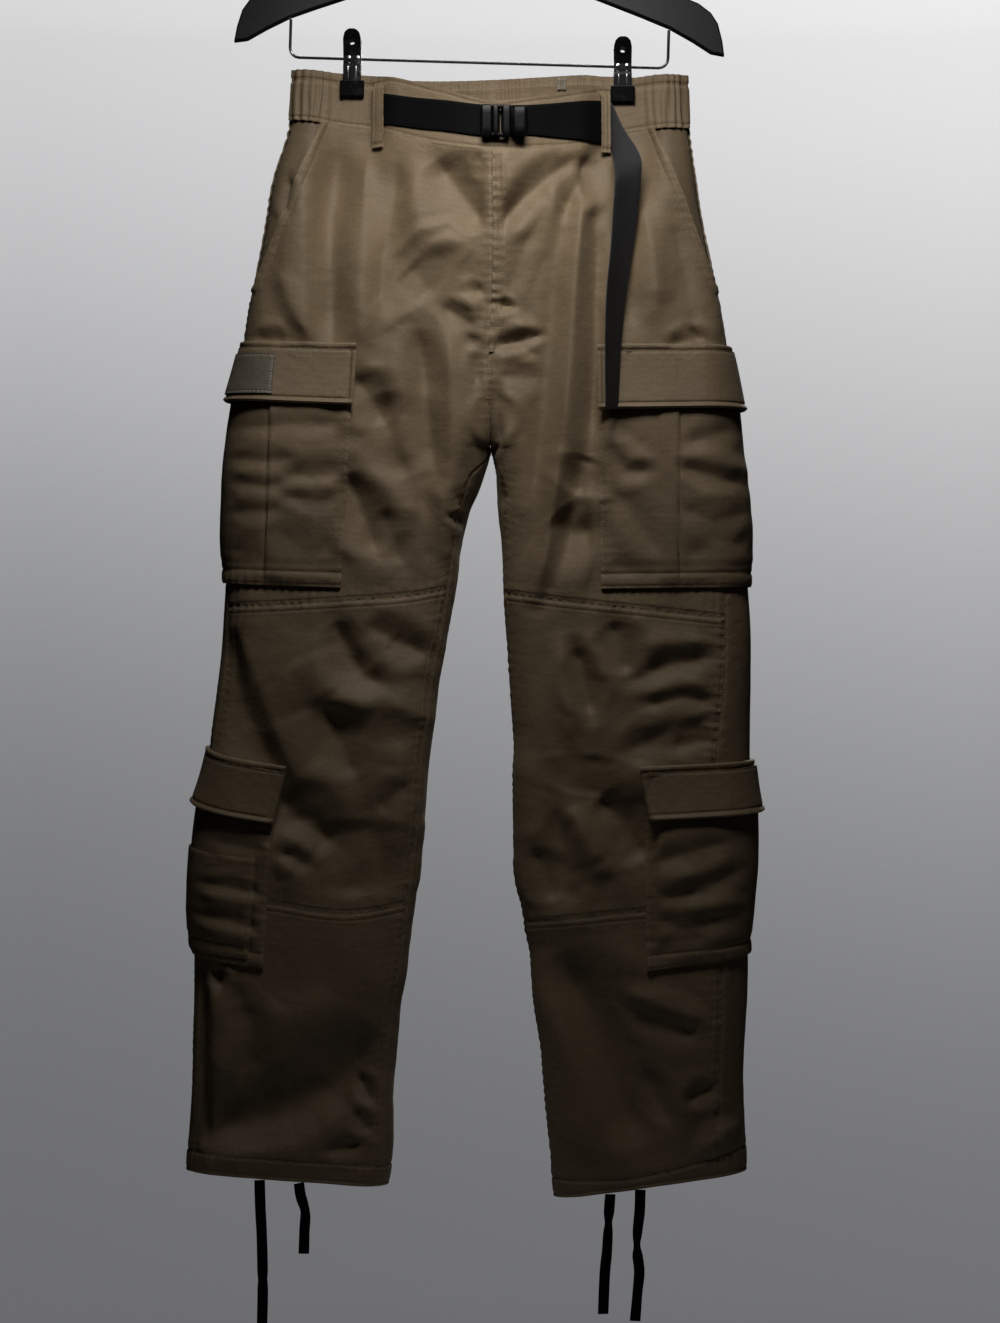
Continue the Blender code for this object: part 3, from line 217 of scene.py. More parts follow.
# A mesh object from a grid of points for its face and one for its back, closed all round.
def makeShell(name, face, back, ring=False, flip=False):
    rows, columns = face.shape[0], face.shape[1]
    points = np.concatenate([face.reshape(-1, 3), back.reshape(-1, 3)])
    offset = rows * columns
    column = np.arange(columns if ring else columns - 1)
    row = np.arange(rows - 1)
    r, c = np.meshgrid(row, column, indexing="ij")
    nextC = (c + 1) % columns
    quads = np.stack([r * columns + c, (r + 1) * columns + c, (r + 1) * columns + nextC, r * columns + nextC], -1)
    quads = quads.reshape(-1, 4)
    faces = [quads, quads[:, ::-1] + offset]
    topC, topN = column, (column + 1) % columns
    faces.append(np.stack([topC, topN, topN + offset, topC + offset], -1))
    last = (rows - 1) * columns
    faces.append(np.stack([last + topN, last + topC, last + topC + offset, last + topN + offset], -1))
    if not ring:
        faces.append(np.stack([(row + 1) * columns, row * columns, row * columns + offset,
                               (row + 1) * columns + offset], -1))
        end = columns - 1
        faces.append(np.stack([row * columns + end, (row + 1) * columns + end, (row + 1) * columns + end + offset,
                               row * columns + end + offset], -1))
    faces = np.concatenate(faces)
    if flip:
        faces = faces[:, ::-1]
    mesh = bpy.data.meshes.new(name)
    mesh.vertices.add(len(points))
    mesh.vertices.foreach_set("co", points.astype(np.float32).ravel())
    mesh.loops.add(len(faces) * 4)
    mesh.loops.foreach_set("vertex_index", faces.astype(np.int32).ravel())
    mesh.polygons.add(len(faces))
    mesh.polygons.foreach_set("loop_start", np.arange(len(faces), dtype=np.int32) * 4)
    mesh.update(calc_edges=True)
    mesh.validate()
    mesh.shade_smooth()
    mesh.set_sharp_from_angle(angle=math.radians(50))
    piece = bpy.data.objects.new(name, mesh)
    scene.collection.objects.link(piece)
    return piece


# Keeps two measures for each point of a grid: where it is on the cut cloth, and how far it is
# from the cut's far edges, both in metres.
def keepCut(piece, cut, rest):
    mesh = piece.data
    corners = np.zeros(len(mesh.loops), np.int32)
    mesh.loops.foreach_get("vertex_index", corners)
    for name, values in (("cut", cut), ("rest", rest)):
        flat = np.concatenate([values.reshape(-1, 2), values.reshape(-1, 2)])
        layer = mesh.uv_layers.new(name=name)
        layer.data.foreach_set("uv", flat[corners].astype(np.float32).ravel())


def finishPiece(piece, material, slot, *nodes):
    piece.data.materials.append(material)
    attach(piece, "root")
    if nodes:
        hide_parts(*nodes)
    return piece


drawcords = {
    # flat tapes that turn partly edge-on once: points (x, y, drop), then where each turn lies
    "drawcord_1": [(-0.2120, -0.0235, 1.2585), (-0.2112, -0.0240, 1.2850), (-0.2100, -0.0240, 1.3080),
                   (-0.2093, -0.0238, 1.3340), (-0.2090, -0.0236, 1.3640), (-0.2096, -0.0235, 1.3930),
                   (-0.2100, -0.0235, 1.4130)],
    "drawcord_2": [(-0.1750, -0.0240, 1.2612), (-0.1732, -0.0245, 1.2730), (-0.1690, -0.0250, 1.2880),
                   (-0.1697, -0.0250, 1.3070), (-0.1703, -0.0245, 1.3274)],
    "drawcord_3": [(0.1180, -0.0255, 1.2714), (0.1168, -0.0262, 1.2870), (0.1160, -0.0265, 1.3020),
                   (0.1148, -0.0262, 1.3250), (0.1128, -0.0258, 1.3460), (0.1112, -0.0255, 1.3839)],
    "drawcord_4": [(0.1462, -0.0252, 1.2673), (0.1456, -0.0258, 1.2870), (0.1436, -0.0262, 1.3060),
                   (0.1431, -0.0262, 1.3240), (0.1452, -0.0258, 1.3440), (0.1435, -0.0256, 1.3640),
                   (0.1413, -0.0255, 1.3905)],
    "twists": {"drawcord_1": 1.352, "drawcord_2": 1.2845, "drawcord_3": 1.2965, "drawcord_4": 1.3205},
    "width": 0.0100,
    "thick": 0.0018,
    "twistLength": 0.009,
    # angles: how far the tape leans, turns at its twist and sways along its length
    "lean": 0.20,
    "turned": 0.72,
    "sway": 0.22,
    "swayPitch": 2.1,
    "ribHeight": 0.00018,
    "rows": 141,
    "columns": 11,
    "routeStep": 7,
}


def makeDrawcords(webbing):
    for name, twistDrop in drawcords["twists"].items():
        knots = np.array(drawcords[name])
        keys = np.arange(len(knots))
        at = np.linspace(0.0, keys[-1], drawcords["rows"])
        spine = np.stack([readTable(keys, knots[:, column], at) for column in range(3)], -1)
        spine[:, 2] = -spine[:, 2]
        along = np.gradient(spine, axis=0)
        along /= np.linalg.norm(along, axis=-1, keepdims=True)
        angle = drawcords["lean"] + drawcords["turned"] * hump(-spine[:, 2], twistDrop, drawcords["twistLength"])
        angle += drawcords["sway"] * np.sin(at * drawcords["swayPitch"] + len(name) + keys[-1])
        flatWay = np.cross(along, np.array([0.0, -1.0, 0.0]))
        flatWay /= np.linalg.norm(flatWay, axis=-1, keepdims=True)
        outWay = np.cross(flatWay, along)
        across = flatWay * np.cos(angle)[:, None] + outWay * np.sin(angle)[:, None]
        facing = np.cross(along, across)
        share = np.linspace(-0.5, 0.5, drawcords["columns"])
        crown = drawcords["thick"] / 2 * np.sqrt(np.clip(1.0 - (2 * share) ** 6, 0.25, 1.0))
        rib = drawcords["ribHeight"] * np.cos(share * 4 * np.pi)
        middle = spine[:, None] + across[:, None] * (drawcords["width"] * share)[None, :, None]
        half = facing[:, None] * (crown + rib)[None, :, None]
        piece = makeShell(f"{name}_tape", middle + half, middle - half)
        keepCut(piece, *measureGrid(middle))
        finishPiece(piece, webbing, "webbing", name)


# The form of the pants, with the same tables as the solids.
# Each row: drop, outer edge, inner edge, front stand-off, back stand-off, outseam inset, inseam inset.
halves = {
    "left": np.array([
        (0.205, -0.1820, 0.0066, 0.012, 0.009, 0.000, 0.000), (0.264, -0.1872, 0.0066, 0.016, 0.012, 0.000, 0.000),
        (0.304, -0.1995, 0.0070, 0.024, 0.018, 0.000, 0.000), (0.361, -0.2090, 0.0076, 0.031, 0.026, 0.000, 0.000),
        (0.427, -0.2213, 0.0066, 0.035, 0.031, 0.000, 0.000), (0.494, -0.2308, 0.0030, 0.037, 0.034, 0.000, 0.000),
        (0.568, -0.2380, 0.0050, 0.037, 0.034, 0.000, 0.000), (0.598, -0.2408, -0.0019, 0.036, 0.033, 0.002, 0.012),
        (0.627, -0.2422, -0.0143, 0.035, 0.032, 0.003, 0.010), (0.656, -0.2442, -0.0209, 0.034, 0.031, 0.004, 0.009),
        (0.713, -0.2470, -0.0285, 0.032, 0.029, 0.005, 0.009), (0.789, -0.2541, -0.0423, 0.030, 0.027, 0.006, 0.009),
        (0.865, -0.2622, -0.0522, 0.028, 0.025, 0.007, 0.009), (0.941, -0.2712, -0.0589, 0.026, 0.024, 0.008, 0.009),
        (1.017, -0.2755, -0.0684, 0.025, 0.023, 0.008, 0.009), (1.093, -0.2764, -0.0789, 0.024, 0.022, 0.008, 0.009),
        (1.169, -0.2788, -0.0864, 0.024, 0.022, 0.008, 0.008), (1.285, -0.2870, -0.0975, 0.025, 0.023, 0.008, 0.007),
    ]),
    "right": np.array([
        (0.205, 0.1918, 0.0066, 0.012, 0.009, 0.000, 0.000), (0.264, 0.1948, 0.0066, 0.016, 0.012, 0.000, 0.000),
        (0.304, 0.2004, 0.0070, 0.024, 0.018, 0.000, 0.000), (0.361, 0.2099, 0.0076, 0.031, 0.026, 0.000, 0.000),
        (0.427, 0.2242, 0.0066, 0.035, 0.031, 0.000, 0.000), (0.494, 0.2332, 0.0030, 0.037, 0.034, 0.004, 0.000),
        (0.568, 0.2356, 0.0070, 0.037, 0.034, 0.010, 0.000), (0.598, 0.2394, 0.0109, 0.036, 0.033, 0.013, 0.007),
        (0.627, 0.2432, 0.0123, 0.035, 0.032, 0.016, 0.006), (0.656, 0.2465, 0.0152, 0.034, 0.031, 0.020, 0.003),
        (0.713, 0.2503, 0.0171, 0.032, 0.029, 0.025, 0.001), (0.789, 0.2527, 0.0233, 0.030, 0.027, 0.029, 0.000),
        (0.865, 0.2522, 0.0276, 0.028, 0.025, 0.036, 0.000), (0.941, 0.2508, 0.0295, 0.027, 0.024, 0.031, 0.000),
        (1.017, 0.2480, 0.0361, 0.026, 0.023, 0.027, 0.000), (1.093, 0.2480, 0.0485, 0.025, 0.022, 0.026, 0.000),
        (1.169, 0.2442, 0.0570, 0.025, 0.022, 0.025, 0.000), (1.285, 0.2480, 0.0645, 0.026, 0.023, 0.025, 0.000),
    ]),
}
# Each row: x, the band's top in front and behind, the band's seam in front and behind.
waistTable = np.array([
    (-0.190, 0.2090, 0.2090, 0.2556, 0.2556), (-0.136, 0.2130, 0.2130, 0.2620, 0.2580),
    (-0.106, 0.2158, 0.2160, 0.2660, 0.2595), (-0.082, 0.2200, 0.2170, 0.2730, 0.2605),
    (-0.042, 0.2325, 0.2178, 0.2850, 0.2620), (0.006, 0.2458, 0.2165, 0.2925, 0.2630),
    (0.056, 0.2388, 0.2138, 0.2890, 0.2635), (0.095, 0.2300, 0.2120, 0.2830, 0.2640),
    (0.113, 0.2260, 0.2145, 0.2760, 0.2640), (0.131, 0.2200, 0.2150, 0.2690, 0.2642),
    (0.150, 0.2160, 0.2160, 0.2665, 0.2644), (0.195, 0.2147, 0.2147, 0.2644, 0.2644),
])
# Each row: x, the seam above the knee piece, the seam below it, the hem's seam and the hem.
crossTable = {
    "left": np.array([
        (-0.280, 0.7190, 0.985, 1.2325, 1.2520), (-0.200, 0.7165, 0.998, 1.2385, 1.2580),
        (-0.130, 0.7125, 1.007, 1.2435, 1.2630), (-0.070, 0.7080, 0.998, 1.2470, 1.2665),
        (-0.028, 0.7000, 0.990, 1.2500, 1.2700),
    ]),
    "right": np.array([
        (0.015, 0.7050, 1.018, 1.2620, 1.2830), (0.065, 0.7120, 1.013, 1.2590, 1.2770),
        (0.140, 0.7200, 1.006, 1.2560, 1.2670), (0.200, 0.7265, 1.001, 1.2420, 1.2585),
        (0.250, 0.7320, 0.998, 1.2280, 1.2515),
    ]),
}
pants = {
    "crotch": 0.568,
    "riseRadius": 0.070,
    "outerRound": 0.036,
    "innerRound": 0.034,
    "bandLevel": 0.244,
    "waistLevel": 0.264,
    "kneeTop": 0.713,
    "kneeBottom": 1.000,
    "hemSeam": 1.243,
    "hem": 1.262,
    # the clips press the waist flat, and below them it opens again
    "clipX": {"left": -0.1259, "right": 0.1306},
    "clipReach": 0.030,
    "pinched": 0.0027,
    "pinchAbove": 0.010,
    "pinchFade": 0.150,
    # the front swells out at the middle and runs out to each side and downwards
    "belly": 0.026,
    "bellyX": 0.003,
    "bellyReach": 0.112,
    "bellyDrop": 0.250,
    "bellyFade": 0.230,
    "cloth": 0.0013,
    "mouthTop": {"left": -0.157, "right": 0.160},
    "mouthBottom": 0.432,
    "mouthEdge": 0.010,
    "mouthLift": 0.0032,
    "facingUnder": 0.045,
    "facingSunk": 0.0030,
}


def halfRow(side, drop):
    row = [readColumn(halves[side], column, drop) for column in range(1, 7)]
    if side == "right":
        # above the crotch the two halves meet in one seam
        middle = readColumn(halves["left"], 2, drop)
        row[1] = middle + (row[1] - middle) * smooth((drop - pants["crotch"] + 0.004) / 0.010)
    return row


def roundEnd(distance, radius):
    reach = np.clip(distance / radius, 0.0, 1.0)
    return np.sqrt(np.maximum(1.0 - (1.0 - reach) ** 2, 0.0))


# A point of one half's plain form. "turn" runs 0 to 1 over the front, from the middle or the
# inner leg to the outer edge, and 1 to 2 back over the rear.
def formPoint(side, turn, drop):
    outer, inner, frontDepth, backDepth = halfRow(side, drop)[:4]
    share = (1.0 - np.cos(np.pi * turn)) / 2.0
    x = inner + (outer - inner) * share
    width = np.abs(outer - inner)
    part = np.clip((drop - (pants["crotch"] - pants["riseRadius"])) / pants["riseRadius"], 0.0, 1.0)
    hollow = np.sqrt(1.0 - part * part)
    innerEnd = hollow + (1.0 - hollow) * roundEnd(share * width, pants["innerRound"])
    end = roundEnd((1.0 - share) * width, pants["outerRound"]) * innerEnd
    fade = 1.0 - smooth((drop - pants["waistLevel"] + pants["pinchAbove"]) / pants["pinchFade"])
    near = [np.exp(-((x - clipX) / pants["clipReach"]) ** 4) for clipX in pants["clipX"].values()]
    squeeze = fade * np.maximum(*near)
    inFront = (turn <= 1.0) | (turn > 2.0)
    depth = np.where(inFront, frontDepth, backDepth) * end
    depth = depth * (1.0 - squeeze) + np.minimum(pants["pinched"], depth) * squeeze
    reach = np.minimum(np.abs(x - pants["bellyX"]) / pants["bellyReach"], 1.0)
    sunk = smooth((drop - pants["bellyDrop"]) / pants["bellyFade"])
    swell = pants["belly"] * (1.0 - sunk) * np.cos(reach * math.pi / 2) ** 2
    depth = depth + np.where(inFront, swell * (1.0 - squeeze) * end, 0.0)
    return np.stack([x, np.where(inFront, -depth, depth), -drop], -1)


def formNormal(side, turn, drop):
    low, high = turn - 0.012, turn + 0.012
    above = drop < pants["crotch"]
    low = np.where(above, np.maximum(low, 0.0), np.where(low < 0.0, low + 2.0, low))
    high = np.where(above, np.minimum(high, 1.99999), high)
    across = formPoint(side, high, drop) - formPoint(side, low, drop)
    down = formPoint(side, turn, drop + 0.002) - formPoint(side, turn, drop - 0.002)
    outward = np.cross(across, down)
    outward /= np.linalg.norm(outward, axis=-1, keepdims=True)
    outward = outward if side == "left" else -outward
    # at the middle seam both halves are pushed straight in or out, so it stays shut
    middle = halfRow(side, drop)[1]
    shut = (1.0 - smooth(np.abs(formPoint(side, turn, drop)[..., 0] - middle) / 0.014)) * above
    straight = np.zeros_like(outward)
    straight[..., 1] = np.where((turn <= 1.0) | (turn > 2.0), -1.0, 1.0)
    outward = outward + (straight - outward) * shut[..., None]
    return outward / np.linalg.norm(outward, axis=-1, keepdims=True)


def turnAt(side, x, drop):
    outer, inner = halfRow(side, drop)[:2]
    share = np.clip((x - inner) / (outer - inner), 0.0, 1.0)
    return np.arccos(1.0 - 2.0 * share) / np.pi


def outseamTurn(side, drop):
    outer, inset = halfRow(side, drop)[0], halfRow(side, drop)[4]
    return turnAt(side, outer - np.copysign(inset, outer), drop)


def inseamTurn(side, drop):
    row = halfRow(side, drop)
    inset = row[5] * smooth((drop - pants["crotch"]) / 0.03)
    return turnAt(side, row[1] + np.copysign(inset, row[0]), drop)


def mouthTurn(side, drop):
    part = (drop - pants["waistLevel"]) / (pants["mouthBottom"] - pants["waistLevel"])
    edge = halfRow(side, np.array(pants["mouthBottom"]))[0]
    top = pants["mouthTop"][side]
    slanted = turnAt(side, top + (edge - top) * part, drop)
    return np.where(drop >= pants["mouthBottom"], outseamTurn(side, drop), slanted)


# The facing runs on a little under the front panel, so the pocket's mouth shows no gap.
def facingStart(side, drop):
    return mouthTurn(side, drop) - pants["facingUnder"]


def rearEnd(side, drop):
    return np.where(drop < pants["crotch"], 1.9999, 2.0 + inseamTurn(side, drop))


# Seams that are not level: the shift of each from its named height, blended between them.
def warpDrop(side, turn, level, front):
    x = formPoint(side, turn, level)[..., 0]
    waist = readColumn(waistTable, 3 if front else 4, x)
    cross = [readColumn(crossTable[side], column, x) for column in range(1, 5)]
    none = np.zeros_like(x)
    lines = [(0.0, none), (pants["waistLevel"], waist - pants["waistLevel"]), (0.500, none), (0.600, none)]
    if front:
        lines.append((pants["kneeTop"], cross[0] - pants["kneeTop"]))
        lines.append((pants["kneeBottom"], cross[1] - pants["kneeBottom"]))
    else:
        lines.append((pants["kneeBottom"], none))
    lines.append((pants["hemSeam"], cross[2] - pants["hemSeam"]))
    lines.append((pants["hem"], cross[3] - pants["hem"]))
    shift = none.copy()
    for index, (start, end) in enumerate(zip(lines[:-1], lines[1:])):
        last = index == len(lines) - 2
        inside = (level > start[0]) & ((level <= end[0]) | last)
        part = (level - start[0]) / (end[0] - start[0])
        shift = np.where(inside, start[1] + (end[1] - start[1]) * part, shift)
    return level + shift


# Creases, listed one by one: depth, width, then points (x, drop). A ridge has a depth below 0.
frontCreases = [
    # below the belt and beside the fly
    (0.0125, 0.019, (-0.046, 0.292), (-0.018, 0.330), (0.003, 0.356)),
    (0.0030, 0.006, (-0.006, 0.292), (0.004, 0.315)),
    (0.0082, 0.010, (0.083, 0.289), (0.049, 0.321), (0.038, 0.331), (0.011, 0.359)),
    (0.0092, 0.010, (0.101, 0.286), (0.083, 0.323), (0.076, 0.341)),
    (-0.0025, 0.009, (0.092, 0.292), (0.062, 0.324), (0.040, 0.345)),
    (0.0020, 0.006, (0.054, 0.348), (0.039, 0.374), (0.024, 0.416), (0.019, 0.433)),
    (0.0020, 0.009, (0.060, 0.380), (0.045, 0.415), (0.040, 0.448)),
    # the pressed line down the right leg and the hollow beside it
    (-0.0082, 0.009, (0.090, 0.308), (0.085, 0.395), (0.080, 0.482), (0.070, 0.573), (0.059, 0.657), (0.047, 0.704)),
    (0.0085, 0.012, (0.106, 0.350), (0.103, 0.460), (0.099, 0.564)),
    (0.0045, 0.014, (0.067, 0.400), (0.060, 0.500), (0.046, 0.600)),
    # drawn in at the foot of the fly
    (0.0040, 0.004, (0.002, 0.433), (0.028, 0.436)),
    (-0.0026, 0.007, (0.005, 0.4435), (0.042, 0.453)),
    (0.0046, 0.005, (0.000, 0.473), (0.024, 0.469), (0.054, 0.461)),
    (0.0024, 0.005, (0.032, 0.472), (0.046, 0.480)),
    (0.0026, 0.009, (0.016, 0.497), (0.050, 0.499)),
    (0.0028, 0.005, (-0.022, 0.424), (0.000, 0.419)),
    (0.0036, 0.007, (-0.040, 0.434), (-0.020, 0.444), (-0.002, 0.456)),
    (0.0030, 0.005, (-0.016, 0.464), (0.000, 0.469)),
    (-0.0040, 0.008, (-0.018, 0.415), (-0.010, 0.445), (0.000, 0.466)),
    (0.0045, 0.006, (0.001, 0.472), (-0.005, 0.507)),
    (0.0080, 0.008, (0.008, 0.512), (0.011, 0.560)),
    (-0.0030, 0.006, (0.013, 0.520), (0.022, 0.560), (0.019, 0.605)),
    # left hip and thigh
    (0.0085, 0.015, (-0.134, 0.275), (-0.141, 0.367), (-0.140, 0.465)),
    (-0.0050, 0.016, (-0.106, 0.290), (-0.112, 0.380), (-0.112, 0.480)),
    (-0.0040, 0.012, (-0.165, 0.330), (-0.166, 0.400), (-0.163, 0.455)),
    (0.0055, 0.014, (-0.080, 0.290), (-0.090, 0.360), (-0.096, 0.440)),
    (0.0045, 0.006, (-0.185, 0.310), (-0.185, 0.348)),
    (-0.0016, 0.004, (-0.094, 0.423), (-0.087, 0.386), (-0.061, 0.365), (-0.033, 0.357), (-0.012, 0.371)),
    (0.0050, 0.020, (-0.070, 0.392), (-0.046, 0.418)),
    (0.0085, 0.013, (-0.062, 0.450), (-0.052, 0.526), (-0.045, 0.585)),
    (-0.0055, 0.011, (-0.033, 0.460), (-0.030, 0.545), (-0.034, 0.640)),
    (-0.0032, 0.008, (-0.043, 0.602), (-0.036, 0.671)),
    (0.0070, 0.020, (-0.094, 0.510), (-0.084, 0.554), (-0.070, 0.590)),
    (0.0062, 0.012, (-0.121, 0.496), (-0.106, 0.515), (-0.092, 0.540)),
    (0.0090, 0.013, (-0.126, 0.585), (-0.114, 0.622), (-0.100, 0.662)),
    (0.0040, 0.012, (-0.094, 0.620), (-0.076, 0.672)),
    (0.0026, 0.004, (-0.036, 0.630), (-0.019, 0.637)),
    (0.0040, 0.006, (-0.215, 0.463), (-0.185, 0.466)),
    (-0.0030, 0.008, (-0.190, 0.400), (-0.178, 0.440), (-0.160, 0.462)),
    # right hip and thigh
    (0.0085, 0.018, (0.066, 0.624), (0.082, 0.640), (0.102, 0.640)),
    (0.0055, 0.014, (0.098, 0.570), (0.086, 0.606)),
    (0.0055, 0.016, (0.175, 0.350), (0.190, 0.410), (0.196, 0.462)),
    (-0.0045, 0.014, (0.150, 0.330), (0.160, 0.430)),
    (0.0055, 0.011, (0.128, 0.340), (0.136, 0.450)),
    (0.0042, 0.006, (0.172, 0.470), (0.205, 0.462)),
    (0.0030, 0.005, (0.190, 0.455), (0.215, 0.470)),
    # left knee
    (0.0072, 0.013, (-0.138, 0.724), (-0.126, 0.756), (-0.112, 0.777), (-0.090, 0.785)),
    (0.0055, 0.011, (-0.112, 0.728), (-0.087, 0.742), (-0.052, 0.757)),
    (-0.0045, 0.014, (-0.150, 0.800), (-0.100, 0.795), (-0.055, 0.815)),
    (0.0090, 0.022, (-0.243, 0.730), (-0.226, 0.800), (-0.190, 0.872)),
    (-0.0065, 0.016, (-0.228, 0.735), (-0.206, 0.798), (-0.176, 0.870)),
    (0.0055, 0.015, (-0.146, 0.800), (-0.136, 0.835), (-0.120, 0.872)),
    (-0.0040, 0.020, (-0.175, 0.760), (-0.150, 0.800)),
    (0.0075, 0.018, (-0.196, 0.890), (-0.165, 0.915), (-0.138, 0.935)),
    (-0.0035, 0.010, (-0.190, 0.925), (-0.160, 0.945)),
    (-0.0030, 0.006, (-0.193, 0.954), (-0.178, 0.965)),
    (0.0030, 0.008, (-0.190, 0.946), (-0.160, 0.960)),
    (0.0060, 0.030, (-0.122, 0.910), (-0.117, 0.985)),
    (-0.0035, 0.012, (-0.079, 0.835), (-0.083, 0.950)),
    (0.0030, 0.009, (-0.100, 0.905), (-0.072, 0.880)),
    # left shin, with the long slanting fold
    (0.0135, 0.034, (-0.266, 1.208), (-0.220, 1.200), (-0.163, 1.184), (-0.125, 1.146), (-0.096, 1.109)),
    (-0.0080, 0.019, (-0.253, 1.230), (-0.173, 1.218), (-0.126, 1.185)),
    (-0.0045, 0.010, (-0.254, 1.071), (-0.243, 1.109), (-0.246, 1.163)),
    (0.0040, 0.016, (-0.225, 1.085), (-0.222, 1.150)),
    (0.0055, 0.005, (-0.266, 1.051), (-0.264, 1.130), (-0.264, 1.219)),
    (0.0045, 0.005, (-0.253, 1.055), (-0.248, 1.074)),
    (0.0045, 0.006, (-0.117, 1.158), (-0.103, 1.182)),
    (0.0035, 0.006, (-0.122, 1.191), (-0.106, 1.210)),
    (0.0030, 0.006, (-0.150, 1.228), (-0.115, 1.222)),
    # right knee, with drags from the outer seam
    (0.0065, 0.009, (0.085, 0.751), (0.092, 0.784), (0.100, 0.815)),
    (-0.0030, 0.009, (0.070, 0.745), (0.076, 0.790), (0.080, 0.840)),
    (0.0060, 0.012, (0.119, 0.725), (0.134, 0.775)),
    (0.0028, 0.008, (0.136, 0.786), (0.172, 0.767), (0.216, 0.760)),
    (-0.0022, 0.010, (0.150, 0.792), (0.210, 0.785)),
    (0.0024, 0.006, (0.150, 0.808), (0.184, 0.800), (0.216, 0.806)),
    (0.0030, 0.010, (0.126, 0.852), (0.172, 0.831), (0.214, 0.818)),
    (-0.0020, 0.010, (0.140, 0.826), (0.208, 0.812)),
    (-0.0022, 0.010, (0.146, 0.748), (0.206, 0.744)),
    (0.0034, 0.008, (0.176, 0.846), (0.214, 0.838)),
    (0.0090, 0.020, (0.106, 0.890), (0.131, 0.914), (0.150, 0.950)),
    (-0.0045, 0.014, (0.075, 0.900), (0.110, 0.950)),
    (0.0045, 0.011, (0.067, 0.902), (0.076, 0.950), (0.082, 0.995)),
    (-0.0040, 0.012, (0.037, 0.845), (0.040, 0.990)),
    (0.0055, 0.010, (0.046, 0.940), (0.066, 0.990)),
    (0.0040, 0.020, (0.105, 0.850), (0.100, 0.890)),
    # right shin
    (-0.0060, 0.018, (0.048, 1.060), (0.078, 1.127), (0.106, 1.184), (0.136, 1.252)),
    (0.0110, 0.028, (0.072, 1.035), (0.104, 1.116), (0.146, 1.220)),
    (-0.0034, 0.009, (0.134, 1.075), (0.157, 1.086), (0.203, 1.101)),
    (0.0026, 0.011, (0.141, 1.092), (0.200, 1.118)),
    (-0.0045, 0.008, (0.202, 1.226), (0.236, 1.200)),
    (0.0040, 0.007, (0.190, 1.180), (0.215, 1.165)),
    (0.0035, 0.008, (0.150, 1.150), (0.175, 1.200)),
]
backCreases = [
    # seat: drawn down from the hips to the crotch
    (0.0070, 0.013, (-0.110, 0.500), (-0.060, 0.540), (-0.018, 0.562)),
    (0.0070, 0.013, (0.120, 0.495), (0.070, 0.540), (0.030, 0.562)),
    (0.0050, 0.010, (-0.085, 0.560), (-0.050, 0.585), (-0.022, 0.596)),
    (0.0050, 0.010, (0.100, 0.565), (0.060, 0.590), (0.030, 0.600)),
    (-0.0045, 0.014, (-0.120, 0.535), (-0.070, 0.572)),
    (-0.0045, 0.014, (0.125, 0.535), (0.080, 0.575)),
    (0.0040, 0.014, (-0.130, 0.300), (-0.120, 0.400), (-0.126, 0.470)),
    (0.0042, 0.014, (0.128, 0.305), (0.138, 0.400), (0.130, 0.480)),
    (0.0032, 0.012, (-0.060, 0.290), (-0.052, 0.380)),
    (0.0032, 0.012, (0.070, 0.295), (0.058, 0.390)),
    (-0.0030, 0.013, (-0.090, 0.300), (-0.086, 0.420)),
    (-0.0030, 0.013, (0.098, 0.300), (0.096, 0.430)),
    (0.0035, 0.007, (0.006, 0.470), (-0.022, 0.486)),
    (0.0035, 0.007, (0.006, 0.500), (0.034, 0.512)),
    # thighs
    (0.0040, 0.014, (-0.080, 0.620), (-0.100, 0.690)),
    (0.0040, 0.014, (0.085, 0.625), (0.105, 0.700)),
    (-0.0035, 0.012, (-0.055, 0.600), (-0.062, 0.700), (-0.080, 0.800)),
    (-0.0035, 0.012, (0.060, 0.610), (0.070, 0.710), (0.090, 0.810)),
    # behind the knees
    (0.0065, 0.009, (-0.220, 0.745), (-0.180, 0.760), (-0.140, 0.752)),
    (0.0062, 0.009, (-0.160, 0.790), (-0.115, 0.802), (-0.080, 0.795)),
    (0.0060, 0.009, (-0.235, 0.830), (-0.190, 0.838), (-0.150, 0.828)),
    (0.0050, 0.008, (-0.150, 0.862), (-0.105, 0.872)),
    (-0.0042, 0.009, (-0.200, 0.800), (-0.150, 0.812)),
    (0.0065, 0.009, (0.215, 0.748), (0.170, 0.764), (0.130, 0.756)),
    (0.0062, 0.009, (0.140, 0.800), (0.095, 0.812), (0.060, 0.800)),
    (0.0060, 0.009, (0.220, 0.838), (0.175, 0.846), (0.140, 0.836)),
    (0.0050, 0.008, (0.120, 0.872), (0.080, 0.880)),
    (-0.0042, 0.009, (0.190, 0.805), (0.145, 0.818)),
    # calves
    (0.0080, 0.015, (-0.245, 1.130), (-0.190, 1.150), (-0.140, 1.115)),
    (-0.0050, 0.014, (-0.240, 1.150), (-0.185, 1.172), (-0.140, 1.140)),
    (0.0075, 0.015, (0.085, 1.080), (0.120, 1.140), (0.160, 1.190)),
    (-0.0050, 0.013, (0.070, 1.090), (0.105, 1.160), (0.140, 1.215)),
    (0.0045, 0.012, (-0.160, 0.960), (-0.170, 1.050)),
    (0.0045, 0.012, (0.130, 0.950), (0.120, 1.040)),
    (0.0040, 0.008, (0.175, 1.110), (0.215, 1.095)),
    (0.0040, 0.008, (-0.120, 1.190), (-0.160, 1.215)),
]


# A path is drawn where a fold looks dark or bright. The fold lies a little further from the light.
foldShift = {"lightX": 0.04, "lightDrop": -0.06, "share": 0.65, "widest": 0.013}


